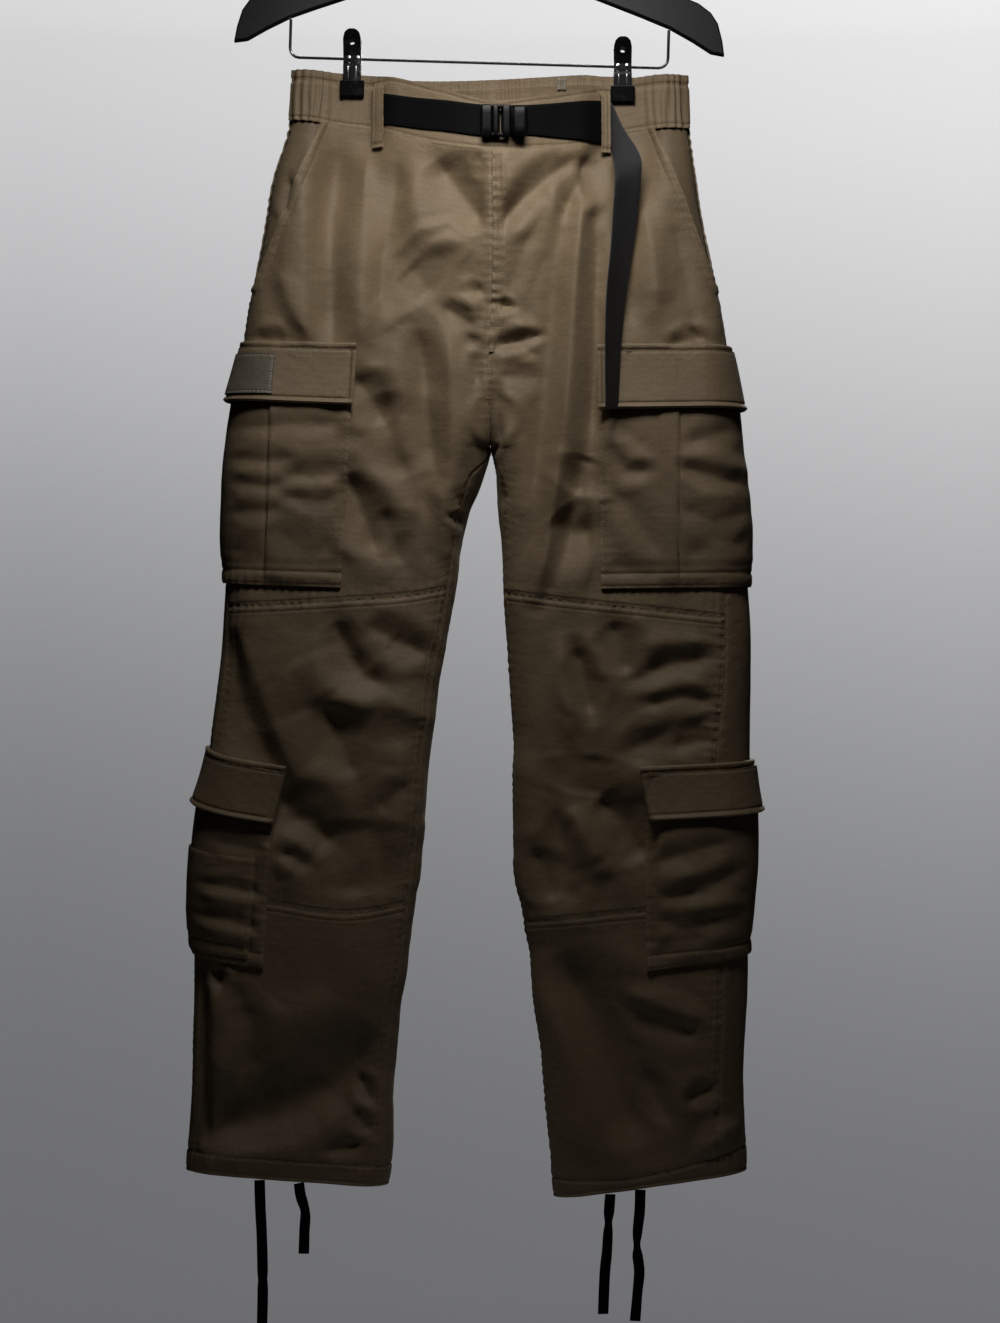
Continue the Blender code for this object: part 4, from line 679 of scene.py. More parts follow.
def shiftedPath(path, width):
    shifted = []
    for x, drop in path:
        runX, runDrop = x - foldShift["lightX"], drop - foldShift["lightDrop"]
        step = foldShift["share"] * min(width, foldShift["widest"]) / math.hypot(runX, runDrop)
        shifted.append((x + step * runX, drop + step * runDrop))
    return shifted


# A crease's section: a rounded middle set in a sharper valley, with a raised shoulder on each side.
creaseForm = {
    "rounded": 0.55,
    "valley": 0.45,
    "valleyBlunt": 0.03,
    "valleyWidth": 0.55,
    "shoulder": 0.26,
    "shoulderAt": 2.0,
    "shoulderWidth": 0.8,
    "slim": 0.75,
    "fuller": 0.5,
    "cutOff": 5.0,
    "endRise": 3.5,
    "endStart": 0.35,
}


# How far creases push the cloth in or out at each point.
def creaseRelief(creases, x, drop):
    total = np.zeros_like(x)
    for depth, width, *path in creases:
        path = shiftedPath(path, width)
        best = np.full(x.shape, 1e3)
        progress = np.zeros_like(x)
        lengths = [math.dist(a, b) for a, b in zip(path[:-1], path[1:])]
        travelled = 0.0
        for (x1, drop1), (x2, drop2), length in zip(path[:-1], path[1:], lengths):
            runX, runDrop = (x2 - x1) / length, (drop2 - drop1) / length
            along = np.clip((x - x1) * runX + (drop - drop1) * runDrop, 0.0, length)
            away = np.hypot(x - x1 - along * runX, drop - drop1 - along * runDrop)
            closer = away < best
            best = np.where(closer, away, best)
            progress = np.where(closer, (travelled + along) / sum(lengths), progress)
            travelled += length
        near = best < creaseForm["cutOff"] * width
        off = best / (width * (creaseForm["slim"] + creaseForm["fuller"] * np.sin(np.pi * progress)))
        sharp = np.exp(-np.sqrt(off ** 2 + creaseForm["valleyBlunt"]) / creaseForm["valleyWidth"])
        middle = creaseForm["rounded"] * np.exp(-off ** 2) + creaseForm["valley"] * sharp
        shoulder = creaseForm["shoulder"] * hump(off, creaseForm["shoulderAt"], creaseForm["shoulderWidth"])
        ends = smooth(np.minimum(progress, 1.0 - progress) * creaseForm["endRise"] + creaseForm["endStart"])
        total -= np.where(near, depth * ends * (middle - shoulder), 0.0)
    return total


hang = {
    # height, seed, waves in a metre each way
    "slack": (0.0026, 3.1, (15.0, 9.0, 4.5)),
    "waves": (0.0011, 7.7, (38.0, 20.0, 17.0)),
    "wrinkles": (0.0009, 12.4, (60.0, 30.0, 46.0)),
    "wrinkleMean": 0.8,
}


# The uneven hang of the cloth between its creases, from slack waves down to small wrinkles.
def hangRelief(points):
    slack, waves, wrinkles = ((height, unevenness(points, 1.0, seed, stretch))
                              for height, seed, stretch in (hang["slack"], hang["waves"], hang["wrinkles"]))
    ridged = 1.0 - np.abs(wrinkles[1])
    patches = smooth(0.5 + 1.4 * unevenness(points, 9.0, 21.0))
    return slack[0] * slack[1] + waves[0] * waves[1] + wrinkles[0] * (ridged - hang["wrinkleMean"]) * patches


# Puckers along a stitched edge: short ridges across it that fade out within a few millimetres.
def puckerRelief(away, along, seed, pitch=0.0085, reach=0.010):
    wander = np.stack([along / pitch * 0.32, np.full_like(along, seed), np.zeros_like(along)], -1)
    phase = unevenness(wander, 1.0) * 2.6
    strength = 0.55 + 0.75 * unevenness(wander, 0.7, 4.0)
    return np.sin(2 * np.pi * along / pitch + phase * 2.0) * np.exp(-away / reach) * np.clip(strength, 0.0, 1.2)


# Pockets and flaps, which lie on the legs.
# Heights at the front edge, at the side of the leg and at the edge on the back, for the top and
# the bottom; then x of the front edge and of the back edge, at the top and at the bottom.
pockets = {
    ("thigh", "left"): {"top": (0.4790, 0.4737, 0.4740), "low": (0.7010, 0.6960, 0.6970),
                        "frontX": (-0.1215, -0.1351), "backX": (-0.130, -0.140), "lift": 0.0014, "puff": 0.006},
    ("thigh", "right"): {"top": (0.4800, 0.4790, 0.4800), "low": (0.7019, 0.7000, 0.7010),
                         "frontX": (0.1063, 0.1091), "backX": (0.150, 0.155), "lift": 0.0014, "puff": 0.006},
    ("calf", "left"): {"top": (0.8748, 0.8560, 0.8600), "low": (1.0590, 1.0440, 1.0480),
                       "frontX": (-0.1975, -0.2085), "backX": (-0.185, -0.190), "lift": 0.0014, "puff": 0.005},
    ("calf", "right"): {"top": (0.8748, 0.8682, 0.8700), "low": (1.0610, 1.0449, 1.0470),
                        "frontX": (0.1500, 0.1524), "backX": (0.185, 0.180), "lift": 0.0014, "puff": 0.005},
}
flaps = {
    ("thigh", "left"): {"top": (0.4784, 0.4737, 0.4740), "low": (0.5310, 0.5254, 0.5260),
                        "frontX": (-0.1200, -0.1228), "backX": (-0.128, -0.128)},
    ("thigh", "right"): {"top": (0.4790, 0.4784, 0.4790), "low": (0.5348, 0.5329, 0.5335),
                         "frontX": (0.1053, 0.1058), "backX": (0.148, 0.148)},
    ("calf", "left"): {"top": (0.8748, 0.8560, 0.8590), "low": (0.9227, 0.9039, 0.9070),
                       "frontX": (-0.1869, -0.1985), "backX": (-0.183, -0.185)},
    ("calf", "right"): {"top": (0.8748, 0.8682, 0.8700), "low": (0.9199, 0.9114, 0.9130),
                        "frontX": (0.1458, 0.1543), "backX": (0.183, 0.183)},
}
calfPatch = {"top": (0.9556, 0.9443, 0.9460), "low": (1.0500, 1.0400, 1.0430),
             "frontX": (-0.2160, -0.2226), "backX": (-0.205, -0.210),
             "rows": 44, "columns": 60, "over": 0.0022, "cloth": 0.0012}
flapLabel = {"top": (0.4830, 0.4803, 0.4800), "low": (0.5205, 0.5185, 0.5180),
             "frontX": (-0.1952, -0.1980), "backX": (-0.229, -0.229),
             "rows": 26, "columns": 60, "over": 0.0014, "cloth": 0.0010}


# A patch's top and bottom at "along", and its two side edges as turns at "down".
def patchHeights(patch, along):
    return (np.interp(along, (0, 1, 2), patch[edge]) for edge in ("top", "low"))


def patchEnds(patch, side, down, drop):
    front, back = (turnAt(side, patch[edge][0] + (patch[edge][1] - patch[edge][0]) * down, drop)
                   for edge in ("frontX", "backX"))
    return front, 2.0 - back


# "along" runs 0 to 1 over the front and 1 to 2 round the back, "down" 0 to 1.
def patchSpot(patch, side, along, down):
    top, low = patchHeights(patch, along)
    drop = top + (low - top) * down
    start, end = patchEnds(patch, side, down, drop)
    turn = np.where(along <= 1.0, start + (1.0 - start) * along, 1.0 + (end - 1.0) * (along - 1.0))
    return turn, drop


# The reverse: a spot's place on a patch, below 0 or above the ends where it is off it.
def placeOn(patch, side, turn, drop):
    along = np.full(turn.shape, 1.0)
    down = along
    for _ in range(4):
        top, low = patchHeights(patch, along)
        down = (drop - top) / (low - top)
        start, end = patchEnds(patch, side, np.clip(down, 0.0, 1.0), drop)
        frontRun, backRun = np.maximum(1.0 - start, 1e-3), np.maximum(end - 1.0, 1e-3)
        along = np.where(turn <= 1.0, (turn - start) / frontRun, 1.0 + (turn - 1.0) / backRun)
    return along, down


def bagLift(patch, along, down):
    full = np.sin(np.pi * np.clip(along / 2.0, 0.0, 1.0)) ** 0.7 * np.sin(np.pi * np.clip(down, 0.0, 1.0)) ** 0.8
    return patch["lift"] + patch["puff"] * full


# How far inside a patch's edges a place is, in metres, roughly.
def insidePatch(along, down, height):
    return np.minimum(np.minimum(along, 2.0 - along) * leg["patchHalf"], np.minimum(down, 1.0 - down) * height)


leg = {
    "patchHalf": 0.11,
    "strength": 1.3,
    "edgeFade": 5.0,
    # beside the middle seam and under the waistband's seam only this share of a crease is left
    "held": 0.25,
    "seamCalm": (0.004, 0.010),
    "waistCalm": (0.004, 0.030),
    # under a pocket: where the cover starts and its run, the share pressed flat, and how far inward
    "coverRun": (0.004, 0.010),
    "coverShare": 0.9,
    "coverDepth": 0.0014,
}


# The leg's own creases and uneven hang.
def legRelief(side, turn, drop):
    points = formPoint(side, turn, drop)
    rear = (turn > 1.0) & (turn <= 2.0)
    x = points[..., 0]
    front = creaseRelief(frontCreases, x, drop)
    back = creaseRelief(backCreases, x, drop)
    edge = np.minimum(np.abs(turn - 1.0), 1.0) * leg["edgeFade"]
    relief = leg["strength"] * np.where(rear, back, front) * smooth(edge)
    held, free = leg["held"], 1.0 - leg["held"]
    start, run = leg["seamCalm"]
    calm = smooth((np.abs(x - halfRow("left", drop)[1]) - start) / run)
    relief = relief * np.where(drop < pants["crotch"], held + free * calm, 1.0)
    start, run = leg["waistCalm"]
    quiet = smooth((drop - pants["waistLevel"] - start) / run)
    return (relief + hangRelief(points) * quiet) * (held + free * quiet)


# The same, pressed flat and a little inward where a pocket covers the leg.
def coveredRelief(side, turn, drop):
    relief = legRelief(side, turn, drop)
    start, run = leg["coverRun"]
    for (_, pocketSide), patch in pockets.items():
        if pocketSide == side:
            height = patch["low"][1] - patch["top"][1]
            away = insidePatch(*placeOn(patch, side, turn, drop), height)
            cover = smooth((away - start) / run)
            relief = relief * (1.0 - leg["coverShare"] * cover) - leg["coverDepth"] * cover
    return relief


# Distances over a grid's face, in metres, from its first column and row and from its last.
def measureGrid(points):
    across = np.zeros(points.shape[:2])
    down = np.zeros(points.shape[:2])
    across[:, 1:] = np.cumsum(np.linalg.norm(np.diff(points, axis=1), axis=-1), axis=1)
    down[1:] = np.cumsum(np.linalg.norm(np.diff(points, axis=0), axis=-1), axis=0)
    cut = np.stack([across, down], -1)
    rest = np.stack([across[:, -1:] - across, down[-1:] - down], -1)
    return cut, rest


# Sews one piece: its face stands "lift" plus "relief" off the plain form.
def sewPiece(name, side, turn, drop, lift, thick, relief, ring=False):
    base = formPoint(side, turn, drop)
    outward = formNormal(side, turn, drop)
    face = base + outward * (lift + relief)[..., None]
    back = base + outward * (lift + relief - thick)[..., None]
    piece = makeShell(name, face, back, ring=ring, flip=side == "left")
    measures = measureGrid(base)
    keepCut(piece, *measures)
    return piece, measures[0]


# A leg panel between two seams. Columns are spread evenly along the cloth.
def panelGrid(side, firstTurn, lastTurn, levelTop, levelLow, rows, columns, front=True):
    levels = np.linspace(levelTop, levelLow, rows + 1)
    near = warpDrop(side, firstTurn(side, levels), levels, front)
    far = warpDrop(side, lastTurn(side, levels), levels, front)
    start, end = firstTurn(side, near), lastTurn(side, far)
    fine = np.linspace(0.0, 1.0, 241)
    turn = start[:, None] + (end - start)[:, None] * fine
    level = np.repeat(levels[:, None], len(fine), axis=1)
    points = formPoint(side, turn, warpDrop(side, turn, level, front))
    run = np.zeros(turn.shape)
    run[:, 1:] = np.cumsum(np.linalg.norm(np.diff(points, axis=1), axis=-1), axis=1)
    share = np.linspace(0.0, 1.0, columns + 1)
    turn = np.stack([np.interp(share * r[-1], r, t) for r, t in zip(run, turn)])
    level = np.repeat(levels[:, None], columns + 1, axis=1)
    return turn, warpDrop(side, turn, level, front)


seam = {
    "reach": 0.06,
    "pucker": 0.0011,
    "sunk": 0.0006,
    "sunkWidth": 0.0013,
    # the turned allowance under the cloth: its height, and over which lengths it rises and falls
    "allowance": 0.0003,
    "allowanceRise": 0.002,
    "allowanceEnd": 0.0075,
    "allowanceFall": 0.0015,
}


# Puckers and a rolled edge along the sewn sides of a panel; "seams" gives their strength there.
def seamRelief(cut, rest, seams, seed):
    relief = np.zeros(cut.shape[:2])
    sides = {"first": (cut[..., 0], cut[..., 1]), "last": (rest[..., 0], cut[..., 1]),
             "top": (cut[..., 1], cut[..., 0]), "low": (rest[..., 1], cut[..., 0])}
    for index, (edge, (away, along)) in enumerate(sides.items()):
        strength = seams.get(edge, 0.0)
        if strength:
            near = away < seam["reach"]
            bump = np.zeros_like(away)
            bump[near] = puckerRelief(away[near], along[near], seed + index * 3.7)
            relief += seam["pucker"] * strength * bump
            relief -= seam["sunk"] * hump(away, 0.0, seam["sunkWidth"])
            fall = 1.0 - smooth((away - seam["allowanceEnd"]) / seam["allowanceFall"])
            relief += seam["allowance"] * smooth(away / seam["allowanceRise"]) * fall * min(strength, 1.0)
    return relief


panels = {
    # name: first seam, last seam, top and bottom level, rows, columns, strength of the puckers
    "front": (inseamTurn, mouthTurn, 0.2645, 0.713, 180, 96, {"first": 0.5, "last": 0.7, "low": 0.9}),
    "hip_facing": (facingStart, outseamTurn, 0.2645, 0.430, 66, 34, {"last": 0.6}),
    "knee": (inseamTurn, outseamTurn, 0.713, 1.000, 110, 76, {"first": 0.6, "last": 1.1, "top": 1.5, "low": 0.6}),
    "shin": (inseamTurn, outseamTurn, 1.000, 1.243, 92, 72, {"first": 0.9, "last": 0.6, "top": 0.5, "low": 0.6}),
    "back": (outseamTurn, rearEnd, 0.2645, 1.243, 240, 72, {"first": 0.8, "last": 0.8, "low": 0.8}),
}


def makePanels():
    for side in ("left", "right"):
        for index, (kind, (first, last, top, low, rows, columns, seams)) in enumerate(panels.items()):
            turn, drop = panelGrid(side, first, last, top, low, rows, columns, front=kind != "back")
            cut, rest = measureGrid(formPoint(side, turn, drop))
            if side == "left" and kind == "knee":
                seams = {**seams, "last": 0.3}
            relief = coveredRelief(side, turn, drop) + seamRelief(cut, rest, seams, index * 11.0 + (side == "left"))
            lift = np.full(turn.shape, -pants["facingSunk"] if kind == "hip_facing" else 0.0)
            if kind == "front":
                edge = pants["mouthEdge"]
                mouth = smooth((edge - rest[..., 0]) / edge) * (drop < pants["mouthBottom"] - edge)
                lift = lift + pants["mouthLift"] * mouth
            piece, cut = sewPiece(f"{kind}_{side}_cloth", side, turn, drop, lift, pants["cloth"], relief)
            nodes = [f"{kind}_{side}"]
            if kind == "back":
                nodes += [f"back_thigh_{side}", f"back_calf_{side}"]
            finishPiece(piece, clothFor(kind), "cloth", *nodes)
    print("panels done")


pocketCreases = {
    ("thigh", "left"): [
        (0.0032, 0.006, (-0.225, 0.549), (-0.180, 0.545), (-0.131, 0.545)),
        (0.0035, 0.006, (-0.229, 0.577), (-0.200, 0.580), (-0.178, 0.576)),
        (0.0032, 0.006, (-0.228, 0.599), (-0.205, 0.603), (-0.186, 0.600)),
        (0.0028, 0.006, (-0.231, 0.628), (-0.190, 0.624)),
        (0.0035, 0.007, (-0.190, 0.590), (-0.160, 0.594), (-0.126, 0.588)),
        (0.0032, 0.006, (-0.186, 0.612), (-0.150, 0.616), (-0.130, 0.609)),
        (-0.0026, 0.008, (-0.185, 0.570), (-0.130, 0.566)),
        (-0.0024, 0.009, (-0.175, 0.604), (-0.130, 0.600)),
        (0.0030, 0.012, (-0.190, 0.640), (-0.160, 0.665), (-0.135, 0.650)),
        (0.0026, 0.010, (-0.232, 0.660), (-0.205, 0.668)),
    ],
    ("thigh", "right"): [
        (0.0046, 0.007, (0.113, 0.563), (0.131, 0.587), (0.154, 0.588)),
        (0.0046, 0.007, (0.183, 0.584), (0.210, 0.592), (0.234, 0.601)),
        (-0.0032, 0.008, (0.180, 0.572), (0.232, 0.586)),
        (-0.0030, 0.007, (0.112, 0.550), (0.134, 0.575), (0.156, 0.577)),
        (0.0034, 0.007, (0.190, 0.562), (0.225, 0.549)),
        (0.0040, 0.010, (0.117, 0.601), (0.145, 0.638), (0.164, 0.662)),
        (-0.0028, 0.009, (0.112, 0.618), (0.136, 0.655)),
        (0.0036, 0.008, (0.185, 0.622), (0.212, 0.634), (0.236, 0.627)),
        (0.0034, 0.010, (0.187, 0.668), (0.215, 0.650), (0.240, 0.655)),
        (0.0024, 0.008, (0.118, 0.672), (0.140, 0.684)),
    ],
    ("calf", "left"): [
        (0.0030, 0.005, (-0.262, 0.975), (-0.235, 0.980), (-0.209, 0.985)),
        (-0.0030, 0.006, (-0.262, 0.985), (-0.209, 0.995)),
        (0.0032, 0.005, (-0.266, 1.004), (-0.235, 1.012), (-0.209, 1.019)),
        (-0.0026, 0.006, (-0.264, 1.014), (-0.212, 1.028)),
        (0.0024, 0.006, (-0.250, 0.935), (-0.205, 0.945)),
        (0.0026, 0.003, (-0.215, 0.948), (-0.222, 1.045)),
    ],
    ("calf", "right"): [
        (0.0045, 0.008, (0.160, 0.955), (0.190, 0.945), (0.226, 0.935)),
        (-0.0034, 0.009, (0.158, 0.972), (0.195, 0.962)),
        (0.0040, 0.007, (0.168, 0.988), (0.205, 0.982), (0.236, 0.960)),
        (-0.0030, 0.008, (0.190, 0.998), (0.236, 0.990)),
        (0.0038, 0.008, (0.160, 1.008), (0.190, 1.016), (0.225, 1.004)),
        (0.0030, 0.007, (0.165, 1.034), (0.205, 1.026)),
    ],
}
# Folded edges of the pleats: x under the flap, x at the pocket's foot, how far the cloth on the
# middle side of the edge stands higher.
pleats = {
    ("thigh", "left"): [(-0.1985, -0.2060, 0.0020)],
    ("thigh", "right"): [(0.1620, 0.1610, -0.0016), (0.1815, 0.1810, 0.0018)],
}
pocketSew = {
    "rows": 84, "columns": 136, "cloth": 0.0014, "edgeRun": 0.012, "creases": 0.72, "hang": 0.8,
    # a pleat's folded edge and how far its step runs on, and the groove beside it
    "pleatEdge": 0.0022, "pleatRun": 0.018, "grooveDepth": 0.0010, "grooveAt": 0.0012, "grooveWidth": 0.0014,
    # the bag stands higher above its bottom band, which a stitched line holds down
    "bagRise": 0.00088, "bandHeight": 0.0125, "bandLine": 0.0010, "bandWidth": 0.0016, "bandRise": 0.0005,
    "flapRows": 30, "flapCloth": 0.0019, "flapCover": 0.0024, "flapFlare": 0.0044, "flapWave": 0.0012,
    # the flap's turned edge, its row of stitches and its rounded rim
    "flapEdge": ((0.0013, 0.0022, 0.0018), (-0.0009, 0.0052, 0.0009), (-0.0012, 0.0, 0.0007)),
    "weltRows": 8, "weltHeight": 0.0052, "weltLift": 0.0012, "weltThick": 0.0030,
}


# A bag's outer face above the plain form, with its creases and puffs.
def bagFace(kind, side, turn, drop):
    patch = pockets[kind, side]
    along, down = placeOn(patch, side, turn, drop)
    points = formPoint(side, turn, drop)
    height = patch["low"][1] - patch["top"][1]
    away = insidePatch(np.clip(along, 0.0, 2.0), np.clip(down, 0.0, 1.0), height)
    inner = smooth(away / pocketSew["edgeRun"])
    rear = (turn > 1.0) & (turn <= 2.0)
    creases = np.where(rear, 0.0, creaseRelief(pocketCreases[kind, side], points[..., 0], drop))
    own = pocketSew["creases"] * creases + pocketSew["hang"] * hangRelief(points + 0.4)
    for topX, lowX, step in pleats.get((kind, side), []):
        inward = (topX + (lowX - topX) * np.clip(down, 0.0, 1.0) - points[..., 0]) * np.sign(topX)
        folded = smooth(inward / pocketSew["pleatEdge"] + 0.5)
        folded = folded * np.exp(-np.maximum(inward, 0.0) / pocketSew["pleatRun"])
        groove = hump(inward, -pocketSew["grooveAt"], pocketSew["grooveWidth"])
        own = own + np.where(rear, 0.0, step * folded - pocketSew["grooveDepth"] * groove)
    rise = pocketSew["bagRise"] * smooth((0.90 - down) / 0.012) * smooth((down - 0.06) / 0.05) * inner
    lift = bagLift(patch, along, down) + pocketSew["cloth"] + rise
    return lift + own * inner + legRelief(side, turn, drop) * (1.0 - inner)


def patchGrid(patch, side, rows, columns):
    down, along = spread((0.0, 1.0), (0.0, 2.0), rows + 1, columns + 1)
    return (*patchSpot(patch, side, along, down), down)


# A flap's outer face, which follows the bag under it and flares towards its lower edge.
def flapFace(kind, side, turn, drop):
    down = np.clip(placeOn(flaps[kind, side], side, turn, drop)[1], 0.0, 1.0)
    bag = bagLift(pockets[kind, side], *placeOn(pockets[kind, side], side, turn, drop))
    lift = bag + pocketSew["cloth"] + pocketSew["flapCover"] + pocketSew["flapFlare"] * down ** 2
    points = formPoint(side, turn, drop)
    wave = pocketSew["flapWave"] * unevenness(points, 1.0, 33.0, (30.0, 30.0, 12.0)) * (0.3 + down)
    return lift + wave + 0.5 * hangRelief(points + 0.9)


def makePockets():
    for (kind, side), patch in pockets.items():
        turn, drop, _ = patchGrid(patch, side, pocketSew["rows"], pocketSew["columns"])
        cut, rest = measureGrid(formPoint(side, turn, drop))
        lift = bagFace(kind, side, turn, drop)
        seams = {"first": 0.6, "last": 0.6, "low": 0.5}
        relief = seamRelief(cut, rest, seams, 5.0 + len(kind) + (side == "left"))
        relief -= pocketSew["bandLine"] * hump(rest[..., 1], pocketSew["bandHeight"], pocketSew["bandWidth"])
        relief += pocketSew["bandRise"] * (rest[..., 1] < pocketSew["bandHeight"])
        piece, cut = sewPiece(f"{kind}_pocket_{side}_cloth", side, turn, drop, lift, pocketSew["cloth"], relief)
        finishPiece(piece, clothFor("pocket"), "cloth", f"{kind}_pocket_{side}")
    for (kind, side), patch in flaps.items():
        turn, drop, _ = patchGrid(patch, side, pocketSew["flapRows"], pocketSew["columns"])
        cut, rest = measureGrid(formPoint(side, turn, drop))
        lift = flapFace(kind, side, turn, drop)
        edge = np.minimum(np.minimum(cut[..., 0], rest[..., 0]), rest[..., 1])
        relief = profile(edge, pocketSew["flapEdge"])
        piece, cut = sewPiece(f"{kind}_flap_{side}_cloth", side, turn, drop, lift, pocketSew["flapCloth"], relief)
        finishPiece(piece, clothFor("flap"), "cloth", f"{kind}_flap_{side}")
        welt = dict(patch)
        welt["top"] = tuple(value - pocketSew["weltHeight"] - 0.0006 for value in patch["top"])
        welt["low"] = tuple(value - 0.0003 for value in patch["top"])
        welt["frontX"] = (patch["frontX"][0],) * 2
        welt["backX"] = (patch["backX"][0],) * 2
        turn, drop, down = patchGrid(welt, side, pocketSew["weltRows"], pocketSew["columns"])
        crown = pocketSew["weltThick"] * np.sqrt(np.clip(1.0 - (2.0 * down - 1.0) ** 4, 0.0, 1.0))
        lift = pocketSew["weltLift"] + 0.2 * pocketSew["weltThick"] + 0.8 * crown
        trim = sewPiece(f"{kind}_welt_{side}_cloth", side, turn, drop, lift, pocketSew["cloth"],
                        0.5 * legRelief(side, turn, drop))[0]
        finishPiece(trim, clothFor("welt"), "cloth", f"{kind}_welt_{side}")
    turn, drop, _ = patchGrid(calfPatch, "left", calfPatch["rows"], calfPatch["columns"])
    lift = bagFace("calf", "left", turn, drop) + calfPatch["over"]
    cut, rest = measureGrid(formPoint("left", turn, drop))
    relief = seamRelief(cut, rest, {"first": 0.4, "last": 0.4, "low": 0.4, "top": 0.3}, 8.0)
    piece, cut = sewPiece("calf_patch_left_cloth", "left", turn, drop, lift, calfPatch["cloth"], relief)
    finishPiece(piece, clothFor("pocket"), "cloth", "calf_patch_left")
    turn, drop, _ = patchGrid(flapLabel, "left", flapLabel["rows"], flapLabel["columns"])
    lift = flapFace("thigh", "left", turn, drop) + flapLabel["over"]
    relief = np.zeros(turn.shape)
    label, cut = sewPiece("flap_label_cloth", "left", turn, drop, lift, flapLabel["cloth"], relief)
    finishPiece(label, clothFor("label"), "label", "flap_label")
    print("pockets done")


waistband = {
    "rows": 30, "cloth": 0.0022, "proud": 0.0006, "seamGap": 0.0006, "gripReach": 0.017, "gather": 0.0011,
    "pitch": 0.0082, "heading": 0.0085, "smoothHeading": 0.0042, "rowGap": 0.0022, "rowWidth": 0.0011,
    # the bottom row of stitches and the rolled edge
    "lowEdge": ((-0.0009, 0.0030, 0.0009), (-0.0010, 0.0, 0.0012)),
    "loopX": {"left": -0.0990, "right": 0.1130}, "backX": {"left": -0.110, "right": 0.120},
    "loopEnds": {"left": (0.2205, 0.2860), "right": (0.2275, 0.2900)}, "loopHalf": 0.0052, "loopThick": 0.0014,
    # the belt loop's rounded side and its row of stitches
    "loopEdge": ((-0.0007, 0.0, 0.0008), (-0.0004, 0.0026, 0.0006)),
}
beltTables = {
    # x, upper edge, lower edge, lift off the band
    "left": np.array([(-0.1030, 0.2314, 0.2618, 0.0010), (-0.0917, 0.2345, 0.2634, 0.0010),
                      (-0.0654, 0.2400, 0.2690, 0.0012), (-0.0350, 0.2450, 0.2740, 0.0012),
                      (-0.0100, 0.2495, 0.2790, 0.0012), (0.0140, 0.2515, 0.2810, 0.0012)]),
    "right": np.array([(0.0150, 0.2510, 0.2800, 0.0012), (0.0400, 0.2495, 0.2780, 0.0012),
                       (0.0750, 0.2445, 0.2790, 0.0014), (0.1060, 0.2400, 0.2800, 0.0020),
                       (0.1184, 0.2400, 0.2800, 0.0022)]),
}
beltTail = np.array([
    # lower or front edge, then upper or rear edge: x, y, drop each
    (0.1205, -0.0240, 0.2950, 0.1300, -0.0180, 0.2660), (0.1210, -0.0420, 0.3080, 0.1455, -0.0330, 0.2960),
    (0.1212, -0.0600, 0.3230, 0.1462, -0.0350, 0.3180), (0.1190, -0.0650, 0.3540, 0.1425, -0.0375, 0.3520),
    (0.1165, -0.0700, 0.3900, 0.1375, -0.0395, 0.3900), (0.1125, -0.0750, 0.4300, 0.1318, -0.0425, 0.4300),
    (0.1112, -0.0780, 0.4700, 0.1275, -0.0450, 0.4700), (0.1112, -0.0790, 0.5050, 0.1255, -0.0465, 0.5050),
    (0.1115, -0.0790, 0.5360, 0.1245, -0.0470, 0.5330),
])
belt = {"thick": 0.0016}


def bandStretch(part, side, first, last, columns, gathered):
    name = f"waistband_{part}_{side}"
    middle = waistband["rows"] // 2
    parts, turns = spread((0.0, 1.0), (first, last), waistband["rows"] + 1, columns + 1)
    x = formPoint(side, turns, np.full(turns.shape, pants["bandLevel"]))[..., 0]
    rear = turns > 1.0
    top = np.where(rear, readColumn(waistTable, 2, x), readColumn(waistTable, 1, x))
    low = np.where(rear, readColumn(waistTable, 4, x), readColumn(waistTable, 3, x))
    drop = top + (low + waistband["seamGap"] - top) * parts
    base = formPoint(side, turns, drop)
    cut, rest = measureGrid(base)
    along = cut[middle:middle + 1, :, 0] + 0.0 * cut[..., 0]
    gripped = np.exp(-((x - pants["clipX"][side]) / waistband["gripReach"]) ** 4)
    relief = 0.0004 * unevenness(base, 1.0, 5.5, (70.0, 40.0, 30.0))
    heading = waistband["heading"] if gathered else waistband["smoothHeading"]
    rowLines = [heading, heading + waistband["rowGap"]] if gathered else [heading]
    if gathered:
        slip = np.stack([along / 0.011, parts * 0.9, np.full_like(along, 2.0 if side == "left" else 6.0)], -1)
        wander = unevenness(slip, 1.0, 1.5)
        wave = np.sin(2 * np.pi * along / waistband["pitch"] + 3.2 * wander)
        deep = 0.65 + 0.6 * unevenness(slip, 0.55, 9.0)
        fade = np.clip(np.minimum(cut[..., 0], rest[..., 0]) / 0.004, 0.0, 1.0)
        height = waistband["gather"] * np.where(x ** 2 > 0.0140, 1.0, 0.6) * deep * fade * (1.0 - 0.8 * gripped)
        relief = relief + height * np.sign(wave) * np.abs(wave) ** 0.8
    for line in rowLines:
        relief = relief - (0.0011 if gathered else 0.0005) * hump(cut[..., 1], line, waistband["rowWidth"])
    relief = (relief + profile(rest[..., 1], waistband["lowEdge"])) * (1.0 - 0.6 * gripped)
    lift = np.full(turns.shape, waistband["proud"])
    piece, cut = sewPiece(f"{name}_cloth", side, turns, drop, lift, waistband["cloth"], relief)
    finishPiece(piece, clothFor("gathers" if gathered else "band"), "cloth", name)
    return piece, cut


def onBand(x, drop, lift):
    middle = halfRow("left", drop)[1]
    left, right = x < middle, x >= middle
    points = np.zeros(x.shape + (3,))
    for side, chosen in (("left", left), ("right", right)):
        turn = turnAt(side, x, drop)
        spot = formPoint(side, turn, drop) + formNormal(side, turn, drop) * lift[..., None]
        points[chosen] = spot[chosen]
    return points


